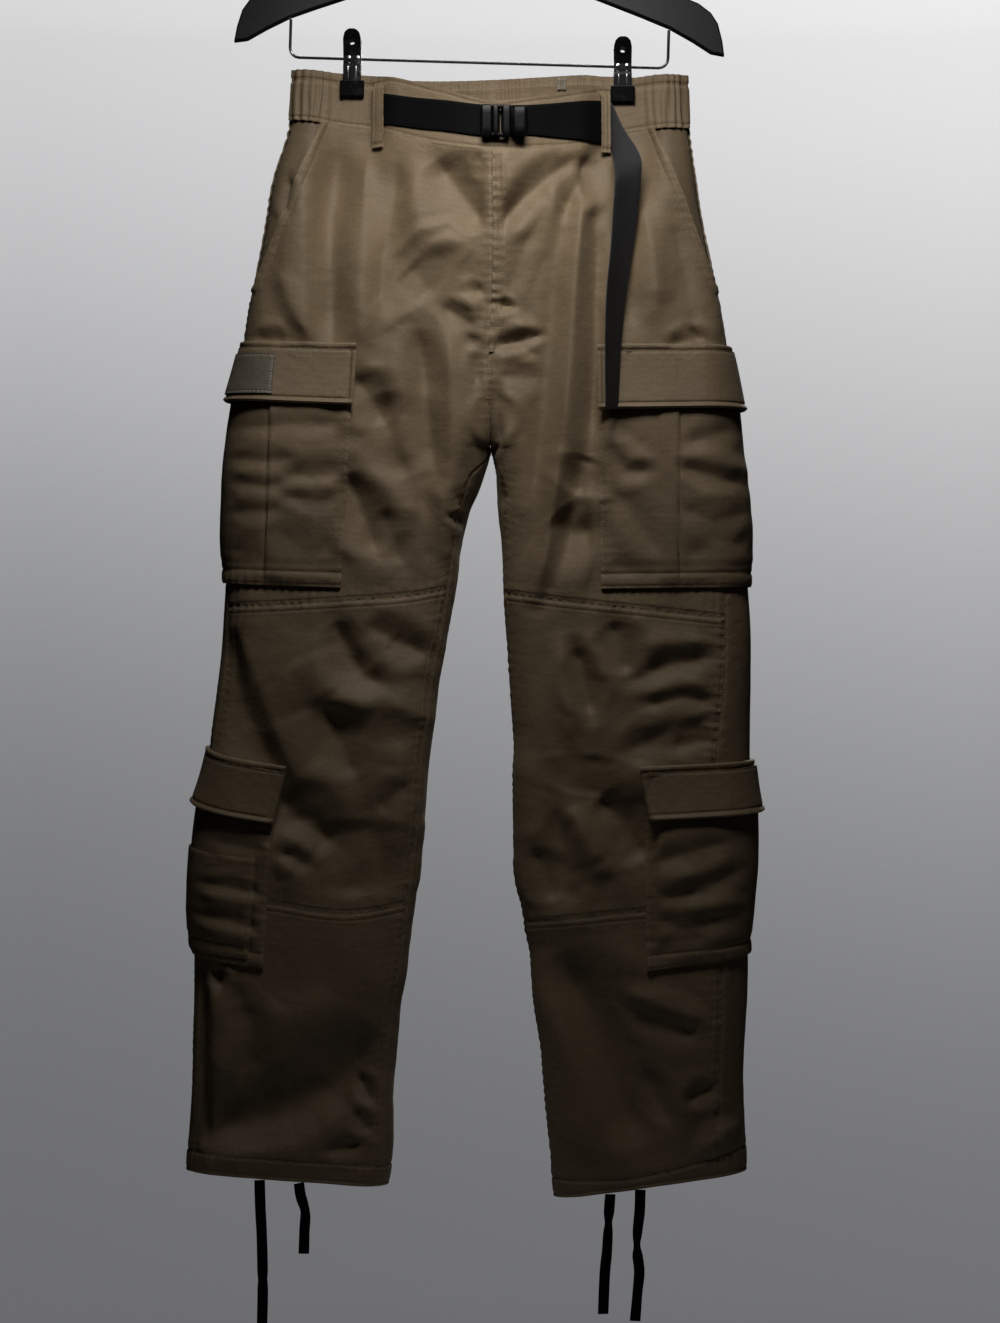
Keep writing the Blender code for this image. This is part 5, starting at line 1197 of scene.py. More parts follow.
def makeWaistband():
    level = np.array(pants["bandLevel"])
    for side in ("left", "right"):
        loopX, half, thick = waistband["loopX"][side], waistband["loopHalf"], waistband["loopThick"]
        frontEdge = float(turnAt(side, np.array(loopX), level))
        backEdge = 2.0 - float(turnAt(side, np.array(waistband["backX"][side]), level))
        table = beltTables[side]
        over = float(readColumn(table, 1, loopX)) - 0.0030
        under = float(readColumn(table, 2, loopX)) + 0.0030
        top, bottom = waistband["loopEnds"][side]
        raised = waistband["proud"] + float(readColumn(table, 3, loopX + 0.005)) + 0.0023
        keysDrop = [top, over - 0.0045, over, (over + under) / 2, under, (under + bottom) / 2 + 0.002, bottom]
        keysLift = [0.0014, 0.0018, raised, raised + 0.0006, raised, 0.0042, 0.0040]
        drop, x = spread((top, bottom), (loopX - half, loopX + half), 71, 11)
        edge = np.minimum(x - x[:, :1], x[:, -1:] - x)
        tack = hump(drop, bottom - 0.003, 0.0016) + hump(drop, top + 0.003, 0.0016)
        lift = readTable(keysDrop, keysLift, drop) + thick - 0.0004 * tack + profile(edge, waistband["loopEdge"])
        outer = onBand(x, drop, lift)
        loop = makeShell(f"belt_loop_{side}_cloth", outer, onBand(x, drop, lift - thick))
        keepCut(loop, *measureGrid(outer))
        finishPiece(loop, clothFor("loop"), "cloth", f"belt_loop_{side}")
        piece, cut = bandStretch("front", side, 0.0, frontEdge, 70, False)
        for part, first, last, columns in (("side", frontEdge, backEdge, 240), ("back", backEdge, 1.9999, 170)):
            piece, cut = bandStretch(part, side, first, last, columns, True)
    print("waistband done")


def makeBelt(webbing, tailWebbingPaintedSheen):
    for side in ("left", "right"):
        table = beltTables[side]
        x = np.repeat(np.linspace(table[0, 0], table[-1, 0], 81)[None], 17, axis=0)
        part = np.repeat(np.linspace(0.0, 1.0, 17)[:, None], 81, axis=1)
        top, low = (readTable(table[:, 0], table[:, column], x) for column in (1, 2))
        drop = top + (low - top) * part
        edge = np.minimum(part, 1.0 - part) * (low - top)
        lift = waistband["proud"] + readTable(table[:, 0], table[:, 3], x)
        face = lift + belt["thick"] - 0.0005 * np.exp(-(edge / 0.0007) ** 2)
        face = face + 0.0003 * np.exp(-((edge - 0.0026) / 0.0012) ** 2)
        outer, inner = onBand(x, drop, face), onBand(x, drop, lift)
        piece = makeShell(f"belt_{side}_webbing", outer, inner)
        cut, rest = measureGrid(outer)
        keepCut(piece, cut[..., ::-1], rest[..., ::-1])
        finishPiece(piece, webbing, "webbing", f"belt_{side}")
    keys = np.arange(len(beltTail) + 1)
    last = beltTables["right"][-1]
    starts = []
    for column in (2, 1):
        spot = onBand(np.array([last[0]]), np.array([last[column]]),
                      np.array([waistband["proud"] + last[3] + belt["thick"] / 2]))[0]
        starts += [spot[0] + 0.0006, spot[1], -spot[2]]
    table = np.vstack([starts, beltTail])
    at = np.linspace(0.0, keys[-1], 181)
    curves = [readTable(keys, table[:, column], at) for column in range(6)]
    first = np.stack([curves[0], curves[1], -curves[2]], -1)
    second = np.stack([curves[3], curves[4], -curves[5]], -1)
    part = np.linspace(0.0, 1.0, 15)
    middle = first[:, None] + (second - first)[:, None] * part[None, :, None]
    run = np.gradient((first + second) / 2, axis=0)
    facing = np.cross(second - first, run)
    facing /= np.linalg.norm(facing, axis=-1, keepdims=True)
    facing[0] = (0.0, -1.0, 0.0)
    cup = 0.0010 * np.sin(np.pi * part)[None, :, None] * smooth(at / 2.0)[:, None, None]
    edge = np.minimum(part, 1.0 - part) * 0.036
    half = (belt["thick"] / 2 - 0.0004 * np.exp(-(edge / 0.0007) ** 2))[None, :, None]
    face = middle + facing[:, None] * (cup + half)
    back = middle + facing[:, None] * (cup - half)
    piece = makeShell("belt_tail_webbing", face, back)
    cut, rest = measureGrid(middle)
    keepCut(piece, cut, rest)
    finishPiece(piece, tailWebbingPaintedSheen, "webbing", "belt_tail")
    print("belt done")


def makeFly():
    part, share = spread((0.0, 1.0), (0.0, 1.0), 151, 11)
    level = pants["waistLevel"] + (0.478 - pants["waistLevel"]) * part
    width = 0.0115 * (1.0 - 0.5 * smooth((part - 0.86) / 0.14))
    turn = turnAt("right", halfRow("right", level)[1] + 0.0004 + width * share, level)
    drop = warpDrop("right", turn, level, True) + 0.0010 * (1.0 - part)
    cut = measureGrid(formPoint("right", turn, drop))[0]
    lift = 0.0020 - 0.0014 * smooth((share - 0.55) / 0.45)
    relief = 0.0011 * puckerRelief(cut[..., 0], cut[..., 1], 2.0, 0.0105, 0.007) + legRelief("right", turn, drop)
    piece, cut = sewPiece("fly_placket_cloth", "right", turn, drop, lift, 0.0014, relief)
    finishPiece(piece, clothFor("fly"), "cloth", "fly_placket")
    drop, x = spread((0.2150, 0.2260), (0.069, 0.077), 9, 9)
    turn = 2.0 - turnAt("right", x, drop)
    inside = np.full(x.shape, -waistband["cloth"] - 0.0002)
    label = sewPiece("waist_label_cloth", "right", turn, drop, inside, 0.0010, np.zeros(x.shape))[0]
    finishPiece(label, clothFor("label"), "label", "waist_label")
    print("fly done")


def makeHems():
    for side in ("left", "right"):
        columns, rows = 260, 16
        turn = np.repeat((2.0 * np.arange(columns) / columns)[None], rows + 1, axis=0)
        share = np.repeat(np.linspace(0.0, 1.0, rows + 1)[:, None], columns, axis=1)
        top = warpDrop(side, turn, np.full(turn.shape, pants["hemSeam"]), True) + 0.0003
        low = warpDrop(side, turn, np.full(turn.shape, pants["hem"]), True)
        drop = top + (low - top) * share
        base = formPoint(side, turn, drop)
        cut, rest = measureGrid(base)
        relief = legRelief(side, turn, drop)
        around = cut[..., 0]
        relief = relief + 0.0010 * puckerRelief(cut[..., 1], around, 6.0 + (side == "left"), 0.0075, 0.010)
        relief = relief - 0.0005 * np.exp(-(cut[..., 1] / 0.0012) ** 2)
        relief = relief - 0.0005 * np.exp(-((rest[..., 1] - 0.003) / 0.0009) ** 2)
        lift = 0.0001 + 0.0004 * np.sin(np.pi * share)
        piece, cut = sewPiece(f"hem_band_{side}_cloth", side, turn, drop, lift, 0.0024, relief, ring=True)
        finishPiece(piece, clothFor("hem"), "cloth", f"hem_band_{side}")
    print("hems done")


buckle = {
    "x": 0.0180, "drop": 0.2665, "offBelt": 0.0053,
    # each bar: left, right, low and high edge from the buckle's middle, back and front, corner, crown
    "frameBars": [
        (-0.0220, -0.0106, -0.0155, 0.0155, -0.0035, 0.0030, 0.0022, 0.0005),
        (-0.0104, -0.0052, -0.0150, 0.0150, -0.0030, 0.0024, 0.0012, 0.0007),
        (-0.0016, 0.0060, -0.0150, 0.0150, -0.0030, 0.0026, 0.0012, 0.0007),
        (-0.0200, 0.0056, 0.0118, 0.0152, -0.0034, 0.0018, 0.0010, 0.0002),
        (-0.0200, 0.0056, -0.0152, -0.0118, -0.0034, 0.0018, 0.0010, 0.0002),
    ],
    "capBars": [
        (0.0070, 0.0222, -0.0148, 0.0148, -0.0035, 0.0040, 0.0036, 0.0012),
        (0.0066, 0.0090, -0.0120, 0.0120, -0.0030, 0.0020, 0.0009, 0.0002),
    ],
}


# A moulded part: rounded bars set into each other, each with a crowned front.
def mouldedPart(name, bars, place):
    form = bmesh.new()
    for left, right, low, high, back, front, corner, crown in bars:
        made = bmesh.ops.create_cube(form, size=1.0)["verts"]
        size = Vector((right - left, front - back, high - low))
        middle = Vector(((left + right) / 2, -(front + back) / 2, (low + high) / 2))
        bmesh.ops.scale(form, vec=size, verts=made)
        edges = list({edge for vert in made for edge in vert.link_edges})
        bmesh.ops.subdivide_edges(form, edges=edges, cuts=5, use_grid_fill=True)
        made = [vert for vert in form.verts if not vert.tag]
        for vert in made:
            vert.tag = True
            u, w = 2 * vert.co.x / size.x, 2 * vert.co.z / size.z
            if vert.co.y < 0.0:
                vert.co.y -= crown * (1 - u * u) * (1 - w ** 4)
            # pull the corners round
            corners = [max(0.0, abs(c) - (s / 2 - corner)) for c, s in zip((vert.co.x, vert.co.y, vert.co.z), size)]
            reach = math.sqrt(sum(c * c for c in corners))
            if reach > corner:
                for axis in range(3):
                    pulled = corners[axis] * (1 - corner / reach)
                    vert.co[axis] -= math.copysign(pulled, vert.co[axis])
            vert.co += middle
    form.transform(place)
    mesh = bpy.data.meshes.new(name)
    form.to_mesh(mesh)
    form.free()
    mesh.shade_smooth()
    piece = bpy.data.objects.new(name, mesh)
    scene.collection.objects.link(piece)
    smoother = piece.modifiers.new("rounding", "SUBSURF")
    smoother.levels = smoother.render_levels = 2
    return piece


def makeBuckle(plastic):
    spots = onBand(np.full(3, buckle["x"]), buckle["drop"] + np.array([-0.010, 0.0, 0.010]),
                   np.full(3, waistband["proud"] + 0.0012 + belt["thick"]))
    lean = math.atan2(spots[0, 1] - spots[2, 1], spots[0, 2] - spots[2, 2])
    place = Matrix.Translation((buckle["x"], float(spots[1, 1]) - buckle["offBelt"], -buckle["drop"])) \
        @ Matrix.Rotation(-lean, 4, "X")
    for label, node in (("frameBars", "buckle_frame"), ("capBars", "buckle_cap")):
        piece = mouldedPart(f"{node}_moulded", buckle[label], place)
        finishPiece(piece, plastic, "plastic", node)
    print("buckle done")


clips = {
    # x of the two rivets and their drop, then the drops of the ribs' top and foot
    "left": {"rivets": (-0.1292, -0.1207), "rivetDrop": 0.1980, "ribTop": 0.2055, "ribFoot": 0.2190},
    "right": {"rivets": (0.1264, 0.1349), "rivetDrop": 0.2055, "ribTop": 0.2125, "ribFoot": 0.2245},
    "rivetRadius": 0.0023,
    "rivetSides": 28,
    # a rivet's rings: share of its radius and height
    "rivetRings": ((1.0, -0.0003), (1.0, 0.0004), (0.86, 0.0009), (0.74, 0.0008), (0.52, 0.0012), (0.25, 0.0015)),
    "ribShift": 0.0038,
    "ribWidth": 0.0016,
}


# Domed rivets and pressed ribs on the front of each clip.
def makeClipFittings(metal):
    rim = clips["rivetSides"]
    for side in ("left", "right"):
        clip = clips[side]
        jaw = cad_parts[f"clip_{side}_front_jaw"].data
        skin = BVHTree.FromPolygons([v.co for v in jaw.vertices], [tuple(p.vertices) for p in jaw.polygons])
        form = bmesh.new()
        for x in clip["rivets"]:
            hit = skin.ray_cast(Vector((x, -1.0, -clip["rivetDrop"])), Vector((0.0, 1.0, 0.0)))[0]
            rings = []
            for share, height in clips["rivetRings"]:
                radius = clips["rivetRadius"] * share
                rings.append([form.verts.new((hit.x + radius * math.cos(2 * math.pi * i / rim), hit.y - height,
                                              hit.z + radius * math.sin(2 * math.pi * i / rim)))
                              for i in range(rim)])
            for first, second in zip(rings[:-1], rings[1:]):
                for i in range(rim):
                    form.faces.new((first[i], first[(i + 1) % rim], second[(i + 1) % rim], second[i]))
            form.faces.new(rings[-1])
        for shift in (-clips["ribShift"], clips["ribShift"]):
            rows = []
            for k in range(15):
                drop = clip["ribTop"] + (clip["ribFoot"] - clip["ribTop"]) * k / 14
                hit = skin.ray_cast(Vector((pants["clipX"][side] + shift, -1.0, -drop)), Vector((0.0, 1.0, 0.0)))[0]
                proud = 0.0008 * math.sqrt(math.sin(math.pi * (0.04 + 0.92 * k / 14)))
                rows.append([form.verts.new((hit.x + clips["ribWidth"] * math.cos(math.pi * j / 8) * 0.5,
                                             hit.y + 0.0002 - proud * math.sin(math.pi * j / 8), hit.z))
                             for j in range(9)])
            for first, second in zip(rows[:-1], rows[1:]):
                for j in range(8):
                    form.faces.new((first[j], first[j + 1], second[j + 1], second[j]))
        bmesh.ops.recalc_face_normals(form, faces=form.faces)
        mesh = bpy.data.meshes.new(f"clip_{side}_rivets")
        form.to_mesh(mesh)
        form.free()
        mesh.shade_smooth()
        piece = bpy.data.objects.new(f"clip_{side}_rivets", mesh)
        scene.collection.objects.link(piece)
        finishPiece(piece, metal, "metal")
    print("clips done")


def calc(tree, operation, *values, clamp=False):
    node = tree.nodes.new("ShaderNodeMath")
    node.operation = operation
    node.use_clamp = clamp
    for socket, value in zip(node.inputs, values):
        if isinstance(value, (int, float)):
            socket.default_value = value
        else:
            tree.links.new(value, socket)
    return node.outputs[0]


def noiseAt(tree, place, scale, detail=2.0, rough=0.5, stretch=(1.0, 1.0, 1.0)):
    mapping = tree.nodes.new("ShaderNodeMapping")
    mapping.inputs["Scale"].default_value = stretch
    tree.links.new(place, mapping.inputs["Vector"])
    node = tree.nodes.new("ShaderNodeTexNoise")
    node.inputs["Scale"].default_value = scale
    node.inputs["Detail"].default_value = detail
    node.inputs["Roughness"].default_value = rough
    tree.links.new(mapping.outputs["Vector"], node.inputs["Vector"])
    return node.outputs["Fac"]


def newGroup(name, inputs, outputs):
    tree = bpy.data.node_groups.new(name, "ShaderNodeTree")
    for label, value in inputs.items():
        kind = "NodeSocketVector" if value is None else "NodeSocketFloat"
        socket = tree.interface.new_socket(name=label, in_out="INPUT", socket_type=kind)
        if value is not None:
            socket.default_value = value
    for label in outputs:
        tree.interface.new_socket(name=label, in_out="OUTPUT", socket_type="NodeSocketFloat")
    return tree, tree.nodes.new("NodeGroupInput"), tree.nodes.new("NodeGroupOutput")


def placeGroup(tree, group, **values):
    node = tree.nodes.new("ShaderNodeGroup")
    node.node_tree = group
    for label, value in values.items():
        socket = node.inputs[label]
        if isinstance(value, (int, float)):
            socket.default_value = value
        else:
            tree.links.new(value, socket)
    return node.outputs


# A bell that is 1 on a line and falls off on both sides of it.
def bell(tree, value, line, width):
    offset = calc(tree, "DIVIDE", calc(tree, "SUBTRACT", value, line), width)
    return calc(tree, "EXPONENT", calc(tree, "MULTIPLY", calc(tree, "MULTIPLY", offset, offset), -1.0))


# Plain weave with a heavier thread at every few millimetres both ways.
def buildRipstop():
    tree, start, end = newGroup("ripstop weave", {"Cut": None, "Thread": 0.00046, "Grid": 0.0056},
                                ("Height", "Shade"))
    split = tree.nodes.new("ShaderNodeSeparateXYZ")
    tree.links.new(start.outputs["Cut"], split.inputs[0])
    waves, lines = [], []
    for axis in (0, 1):
        turn = calc(tree, "DIVIDE", split.outputs[axis], start.outputs["Thread"])
        waves.append(calc(tree, "SINE", calc(tree, "MULTIPLY", turn, 2 * math.pi)))
        cell = calc(tree, "FRACT", calc(tree, "DIVIDE", split.outputs[axis], start.outputs["Grid"]))
        lines.append(bell(tree, cell, 0.5, 0.085))
    slub = noiseAt(tree, start.outputs["Cut"], 260.0, 2.0, 0.6, (1.0, 7.0, 1.0))
    slubAcross = noiseAt(tree, start.outputs["Cut"], 260.0, 2.0, 0.6, (7.0, 1.0, 1.0))
    ribs = calc(tree, "MAXIMUM", calc(tree, "MULTIPLY", lines[0], 0.45), calc(tree, "MULTIPLY", lines[1], 0.8))
    weave = calc(tree, "MULTIPLY", waves[0], waves[1])
    uneven = calc(tree, "ADD", slub, slubAcross)
    height = calc(tree, "ADD", calc(tree, "MULTIPLY", weave, 0.35), calc(tree, "MULTIPLY", ribs, 0.55))
    height = calc(tree, "ADD", height, calc(tree, "MULTIPLY", uneven, 0.9))
    shade = calc(tree, "ADD", calc(tree, "MULTIPLY", calc(tree, "SUBTRACT", uneven, 1.0), 0.42),
                 calc(tree, "MULTIPLY", ribs, 0.11))
    shade = calc(tree, "ADD", shade, calc(tree, "MULTIPLY", weave, 0.10))
    tree.links.new(height, end.inputs["Height"])
    tree.links.new(shade, end.inputs["Shade"])
    return tree


# A row of stitches at a distance from an edge, sunk in its own groove.
def buildStitchRow():
    tree, start, end = newGroup("stitch row", {"Away": 0.0, "Along": 0.0, "Line": 0.002, "Pitch": 0.0030,
                                               "Width": 0.00045}, ("Mask", "Height"))
    away, along, line = (start.outputs[label] for label in ("Away", "Along", "Line"))
    thread = bell(tree, away, line, start.outputs["Width"])
    groove = bell(tree, away, line, calc(tree, "MULTIPLY", start.outputs["Width"], 2.6))
    turn = calc(tree, "MULTIPLY", calc(tree, "DIVIDE", along, start.outputs["Pitch"]), 2 * math.pi)
    dash = calc(tree, "ADD", calc(tree, "MULTIPLY", calc(tree, "SINE", turn), 2.2), 1.3, clamp=True)
    mask = calc(tree, "MULTIPLY", thread, dash)
    height = calc(tree, "SUBTRACT", calc(tree, "MULTIPLY", mask, 0.55), groove)
    tree.links.new(mask, end.inputs["Mask"])
    tree.links.new(height, end.inputs["Height"])
    return tree


# Small crumples of washed cloth, stronger beside a seam.
def buildCrumple():
    tree, start, end = newGroup("cloth crumple", {"Place": None, "Away": 0.1}, ("Height", "Tone"))
    broad = noiseAt(tree, start.outputs["Place"], 26.0, 3.0, 0.55, (1.0, 1.0, 0.75))
    fine = noiseAt(tree, start.outputs["Place"], 120.0, 3.0, 0.6)
    ridge = calc(tree, "SUBTRACT", 1.0, calc(tree, "ABSOLUTE", calc(tree, "MULTIPLY", calc(
        tree, "SUBTRACT", noiseAt(tree, start.outputs["Place"], 40.0, 2.0, 0.5, (1.0, 1.0, 1.4)), 0.5), 4.0)))
    near = calc(tree, "EXPONENT", calc(tree, "MULTIPLY", calc(tree, "DIVIDE", start.outputs["Away"], 0.012), -1.0))
    height = calc(tree, "ADD", calc(tree, "MULTIPLY", ridge, 0.30), calc(tree, "MULTIPLY", fine, 0.35))
    height = calc(tree, "ADD", height, calc(tree, "MULTIPLY", calc(tree, "MULTIPLY", fine, near), 1.2))
    tone = calc(tree, "ADD", calc(tree, "MULTIPLY", calc(tree, "SUBTRACT", broad, 0.5), 0.30),
                calc(tree, "MULTIPLY", calc(tree, "SUBTRACT", fine, 0.5), 0.12))
    tree.links.new(height, end.inputs["Height"])
    tree.links.new(tone, end.inputs["Tone"])
    return tree


# Edges that rubbing has made paler, broken up along their length.
def buildEdgeWear():
    tree, start, end = newGroup("edge wear", {"Place": None, "Away": 0.1, "Reach": 0.0022}, ("Mask",))
    near = calc(tree, "EXPONENT", calc(tree, "MULTIPLY", calc(
        tree, "DIVIDE", start.outputs["Away"], start.outputs["Reach"]), -1.0))
    broken = calc(tree, "MULTIPLY", calc(tree, "SUBTRACT", noiseAt(
        tree, start.outputs["Place"], 55.0, 3.0, 0.6), 0.28), 2.2, clamp=True)
    tree.links.new(calc(tree, "MULTIPLY", near, broken), end.inputs["Mask"])
    return tree


ripstopGroup = buildRipstop()
stitchGroup = buildStitchRow()
crumpleGroup = buildCrumple()
wearGroup = buildEdgeWear()

cloth = {
    "colour": (0.210, 0.149, 0.084),
    "thread": (0.300, 0.226, 0.138),
    "worn": (0.285, 0.212, 0.130),
    "rough": 0.60,
    "sheen": 0.16,
    "weaveHeight": 0.00006,
    "crumpleHeight": 0.0008,
    "stitchHeight": 0.00045,
    # rows of stitches: which edge of the piece, how far from it
    "rows": {
        "front": (("first", 0.0020), ("last", 0.0018), ("last", 0.0085), ("low", 0.0022)),
        "hip_facing": (("last", 0.0020),),
        "knee": (("first", 0.0018), ("first", 0.0070), ("last", 0.0018), ("top", 0.0020), ("top", 0.0075),
                 ("low", 0.0020)),
        "shin": (("first", 0.0018), ("first", 0.0070), ("last", 0.0018), ("last", 0.0075), ("top", 0.0020),
                 ("top", 0.0078)),
        "back": (("first", 0.0020), ("last", 0.0020), ("last", 0.0080), ("low", 0.0020)),
        "pocket": (("first", 0.0018), ("last", 0.0018), ("low", 0.0020), ("low", 0.0135)),
        "flap": (("first", 0.0050), ("last", 0.0050), ("low", 0.0052), ("top", 0.0018)),
        "welt": (("low", 0.0008),),
        "band": (("top", 0.0040), ("low", 0.0030)),
        "gathers": (("top", 0.0085), ("top", 0.0108), ("low", 0.0030)),
        "loop": (("first", 0.0022), ("last", 0.0022), ("top", 0.0030), ("low", 0.0020), ("low", 0.0040)),
        "fly": (("first", 0.0016), ("first", 0.0062)),
        "hem": (("top", 0.0018), ("low", 0.0032)),
        "label": (("first", 0.0016), ("last", 0.0016), ("top", 0.0016), ("low", 0.0016)),
    },
}
clothMaterials = {}


def edgeMeasures(tree):
    found = {}
    for label in ("cut", "rest"):
        node = tree.nodes.new("ShaderNodeUVMap")
        node.uv_map = label
        split = tree.nodes.new("ShaderNodeSeparateXYZ")
        tree.links.new(node.outputs["UV"], split.inputs[0])
        found[label] = (node.outputs["UV"], split.outputs["X"], split.outputs["Y"])
    cutPlace, cutX, cutY = found["cut"]
    restX, restY = found["rest"][1:]
    return cutPlace, {"first": (cutX, cutY), "last": (restX, cutY), "top": (cutY, cutX), "low": (restY, cutX)}


def mixColour(tree, factor, first, second, blend="MIX"):
    node = tree.nodes.new("ShaderNodeMix")
    node.data_type = "RGBA"
    node.blend_type = blend
    for label, value in (("Factor", factor), ("A", first), ("B", second)):
        socket = [item for item in node.inputs if item.name == label and item.enabled][0]
        if isinstance(value, tuple):
            socket.default_value = (*value, 1.0)
        elif isinstance(value, (int, float)):
            socket.default_value = value
        else:
            tree.links.new(value, socket)
    return [item for item in node.outputs if item.enabled][0]


def makeClothMaterial(kind, colour, thread, worn):
    material = bpy.data.materials.new(f"{kind} cloth")
    material.use_nodes = True
    tree = material.node_tree
    shader = tree.nodes["Principled BSDF"]
    cutPlace, edges = edgeMeasures(tree)
    nearest = calc(tree, "MINIMUM", calc(tree, "MINIMUM", edges["first"][0], edges["last"][0]),
                   calc(tree, "MINIMUM", edges["top"][0], edges["low"][0]))
    spot = tree.nodes.new("ShaderNodeTexCoord").outputs["Object"]
    weave = placeGroup(tree, ripstopGroup, Cut=cutPlace)
    crumple = placeGroup(tree, crumpleGroup, Place=spot, Away=nearest)
    wear = placeGroup(tree, wearGroup, Place=spot, Away=nearest)
    mask, height = 0.0, calc(tree, "MULTIPLY", weave["Height"], cloth["weaveHeight"])
    height = calc(tree, "ADD", height, calc(tree, "MULTIPLY", crumple["Height"], cloth["crumpleHeight"]))
    for edge, line in cloth["rows"][kind]:
        away, along = edges[edge]
        row = placeGroup(tree, stitchGroup, Away=away, Along=along, Line=line)
        mask = calc(tree, "MAXIMUM", mask, row["Mask"])
        height = calc(tree, "ADD", height, calc(tree, "MULTIPLY", row["Height"], cloth["stitchHeight"]))
    tone = calc(tree, "ADD", calc(tree, "ADD", weave["Shade"], crumple["Tone"]), 1.0)
    faded = mixColour(tree, calc(tree, "MULTIPLY", wear["Mask"], 0.8), colour, worn)
    sewn = mixColour(tree, calc(tree, "MULTIPLY", mask, 0.75), faded, thread)
    shaded = tree.nodes.new("ShaderNodeVectorMath")
    shaded.operation = "SCALE"
    tree.links.new(sewn, shaded.inputs[0])
    tree.links.new(tone, shaded.inputs["Scale"])
    tree.links.new(shaded.outputs[0], shader.inputs["Base Color"])
    rough = calc(tree, "ADD", cloth["rough"], calc(tree, "MULTIPLY", crumple["Tone"], 0.35))
    tree.links.new(rough, shader.inputs["Roughness"])
    shader.inputs["Sheen Weight"].default_value = cloth["sheen"]
    shader.inputs["Sheen Roughness"].default_value = 0.55
    shader.inputs["Sheen Tint"].default_value = (0.82, 0.74, 0.60, 1.0)
    shader.inputs["Specular IOR Level"].default_value = 0.45
    bump = tree.nodes.new("ShaderNodeBump")
    bump.inputs["Distance"].default_value = 1.0
    bump.inputs["Strength"].default_value = 1.0
    tree.links.new(height, bump.inputs["Height"])
    tree.links.new(bump.outputs["Normal"], shader.inputs["Normal"])
    return material


def clothFor(kind):
    if kind not in clothMaterials:
        colours = [cloth["colour"], cloth["thread"], cloth["worn"]]
        if kind == "label":
            colours = [(0.150, 0.128, 0.096), (0.46, 0.42, 0.34), (0.20, 0.17, 0.13)]
        # the hip facing is painted darker: painted shade inside the pocket's mouth
        if kind == "hip_facing":
            colours[0] = (0.172, 0.121, 0.068)
        clothMaterials[kind] = makeClothMaterial(kind, *colours)
    return clothMaterials[kind]


webbing = {
    "rib": 0.0016,
    "height": 0.00016,
    # colour, colour of rubbed edges, shine; the tail is the same webbing as the belt, with a lighter colour as
    # painted sheen
    "finishesAndPaintedSheen": {
        "belt": ((0.0032, 0.0032, 0.0039), (0.012, 0.012, 0.014), 0.07),
        "tail": ((0.0240, 0.0240, 0.0275), (0.050, 0.050, 0.056), 0.38),
    },
}


# Woven tape: ribs along its length, small weft steps across them, edges rubbed pale.
def makeWebbing(name):
    colour, rubbed, shine = webbing["finishesAndPaintedSheen"][name]
    material = bpy.data.materials.new(f"{name} webbing")
    material.use_nodes = True
    tree = material.node_tree
    shader = tree.nodes["Principled BSDF"]
    edges = edgeMeasures(tree)[1]
    across, along = edges["first"]
    rib = calc(tree, "SINE", calc(tree, "MULTIPLY", across, 2 * math.pi / webbing["rib"]))
    step = calc(tree, "SINE", calc(tree, "MULTIPLY", along, 2 * math.pi / (0.6 * webbing["rib"])))
    woven = calc(tree, "MULTIPLY", rib, calc(tree, "ADD", calc(tree, "MULTIPLY", step, 0.4), 0.6))
    spot = tree.nodes.new("ShaderNodeTexCoord").outputs["Object"]
    wear = placeGroup(tree, wearGroup, Place=spot, Away=calc(tree, "MINIMUM", across, edges["last"][0]), Reach=0.0011)
    crumple = placeGroup(tree, crumpleGroup, Place=spot, Away=0.1)
    height = calc(tree, "ADD", calc(tree, "MULTIPLY", woven, webbing["height"]),
                  calc(tree, "MULTIPLY", crumple["Height"], 0.0004))
    worn = mixColour(tree, wear["Mask"], colour, rubbed)
    shaded = tree.nodes.new("ShaderNodeVectorMath")
    shaded.operation = "SCALE"
    tree.links.new(worn, shaded.inputs[0])
    tone = calc(tree, "ADD", calc(tree, "ADD", crumple["Tone"], calc(tree, "MULTIPLY", woven, 0.12)), 1.0)
    tree.links.new(tone, shaded.inputs["Scale"])
    tree.links.new(shaded.outputs[0], shader.inputs["Base Color"])
    tree.links.new(calc(tree, "ADD", calc(tree, "MULTIPLY", crumple["Tone"], 0.5), 0.64), shader.inputs["Roughness"])
    shader.inputs["Specular IOR Level"].default_value = shine
    bump = tree.nodes.new("ShaderNodeBump")
    bump.inputs["Distance"].default_value = 1.0
    tree.links.new(height, bump.inputs["Height"])
    tree.links.new(bump.outputs["Normal"], shader.inputs["Normal"])
    return material


hardFinishes = {
    # colour, roughness, shine, metallic, coat, grain height, grain scale, scuffed colour
    "moulded plastic": ((0.0030, 0.0030, 0.0035), 0.26, 0.09, 0.0, 0.0, 0.00002, 900.0, (0.014, 0.014, 0.016)),
    "hanger plastic": ((0.0110, 0.0110, 0.0125), 0.46, 0.40, 0.0, 0.0, 0.00005, 620.0, (0.034, 0.034, 0.038)),
    "black enamel": ((0.0060, 0.0060, 0.0070), 0.20, 0.50, 0.0, 0.5, 0.00002, 240.0, (0.040, 0.040, 0.042)),
    "polished wire": ((0.330, 0.330, 0.345), 0.22, 0.50, 1.0, 0.0, 0.00002, 700.0, (0.200, 0.200, 0.210)),
    "rivet steel": ((0.620, 0.620, 0.640), 0.24, 0.50, 1.0, 0.0, 0.00002, 700.0, (0.380, 0.380, 0.390)),
}


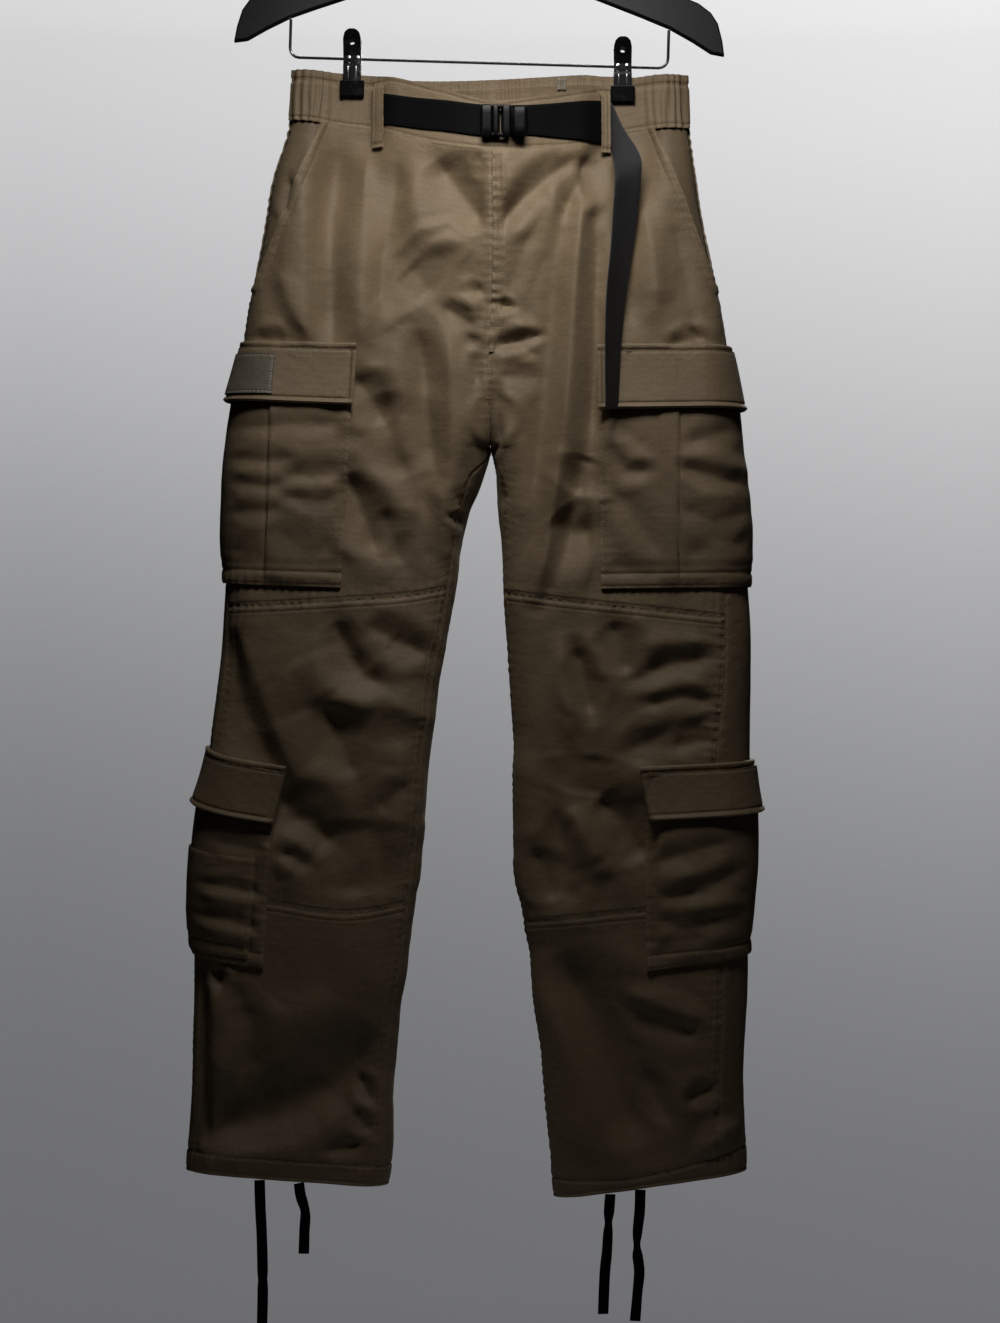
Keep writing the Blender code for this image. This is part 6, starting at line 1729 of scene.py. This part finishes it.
# Fine grain of a mould or a rolled metal, with small scuffs.
def buildHardGrain():
    tree, start, end = newGroup("hard grain", {"Place": None, "Scale": 600.0}, ("Height", "Scuff"))
    node = tree.nodes.new("ShaderNodeTexNoise")
    tree.links.new(start.outputs["Place"], node.inputs["Vector"])
    tree.links.new(start.outputs["Scale"], node.inputs["Scale"])
    node.inputs["Detail"].default_value = 3.0
    broad = noiseAt(tree, start.outputs["Place"], 70.0, 4.0, 0.65)
    scratch = noiseAt(tree, start.outputs["Place"], 160.0, 2.0, 0.5, (1.0, 1.0, 14.0))
    scuff = calc(tree, "MULTIPLY", calc(tree, "SUBTRACT", broad, 0.54), 5.0, clamp=True)
    scuff = calc(tree, "MULTIPLY", scuff, calc(tree, "MULTIPLY", scratch, 0.9))
    tree.links.new(calc(tree, "ADD", node.outputs["Fac"], calc(tree, "MULTIPLY", scratch, 0.3)),
                   end.inputs["Height"])
    tree.links.new(scuff, end.inputs["Scuff"])
    return tree


hardGrainGroup = buildHardGrain()


def makeHardMaterial(name):
    colour, rough, shine, metallic, coat, grainHeight, grainScale, scuffed = hardFinishes[name]
    material = bpy.data.materials.new(name)
    material.use_nodes = True
    tree = material.node_tree
    shader = tree.nodes["Principled BSDF"]
    spot = tree.nodes.new("ShaderNodeTexCoord").outputs["Object"]
    grain = placeGroup(tree, hardGrainGroup, Place=spot, Scale=grainScale)
    tree.links.new(mixColour(tree, grain["Scuff"], colour, scuffed), shader.inputs["Base Color"])
    tree.links.new(calc(tree, "ADD", calc(tree, "MULTIPLY", grain["Scuff"], 0.30), rough), shader.inputs["Roughness"])
    shader.inputs["Specular IOR Level"].default_value = shine
    shader.inputs["Metallic"].default_value = metallic
    shader.inputs["Coat Weight"].default_value = coat
    shader.inputs["Coat Roughness"].default_value = 0.08
    bump = tree.nodes.new("ShaderNodeBump")
    bump.inputs["Distance"].default_value = 1.0
    tree.links.new(calc(tree, "MULTIPLY", grain["Height"], grainHeight), bump.inputs["Height"])
    tree.links.new(bump.outputs["Normal"], shader.inputs["Normal"])
    return material


hardMaterials = {name: makeHardMaterial(name) for name in hardFinishes}
carriedOver = {
    "hanger plastic": ["hanger_shoulders"],
    "polished wire": ["hanger_hook", "hanger_bar"],
    "black enamel": [f"clip_{side}_{end}_jaw" for side in ("left", "right") for end in ("front", "back")],
    "moulded plastic": [f"clip_{side}_{end}_pad" for side in ("left", "right") for end in ("front", "back")],
}


def finishHardNodes():
    for name, nodes in carriedOver.items():
        for node in nodes:
            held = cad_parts[node]
            for slot in held.material_slots:
                slot.material = hardMaterials[name]
    print("hanger and clips finished")


webbingMaterials = {name: makeWebbing(name) for name in webbing["finishesAndPaintedSheen"]}
makeDrawcords(webbingMaterials["belt"])
makePanels()
makePockets()
makeWaistband()
makeBelt(webbingMaterials["belt"], webbingMaterials["tail"])
makeFly()
makeHems()
makeBuckle(hardMaterials["moulded plastic"])
makeClipFittings(hardMaterials["rivet steel"])
finishHardNodes()
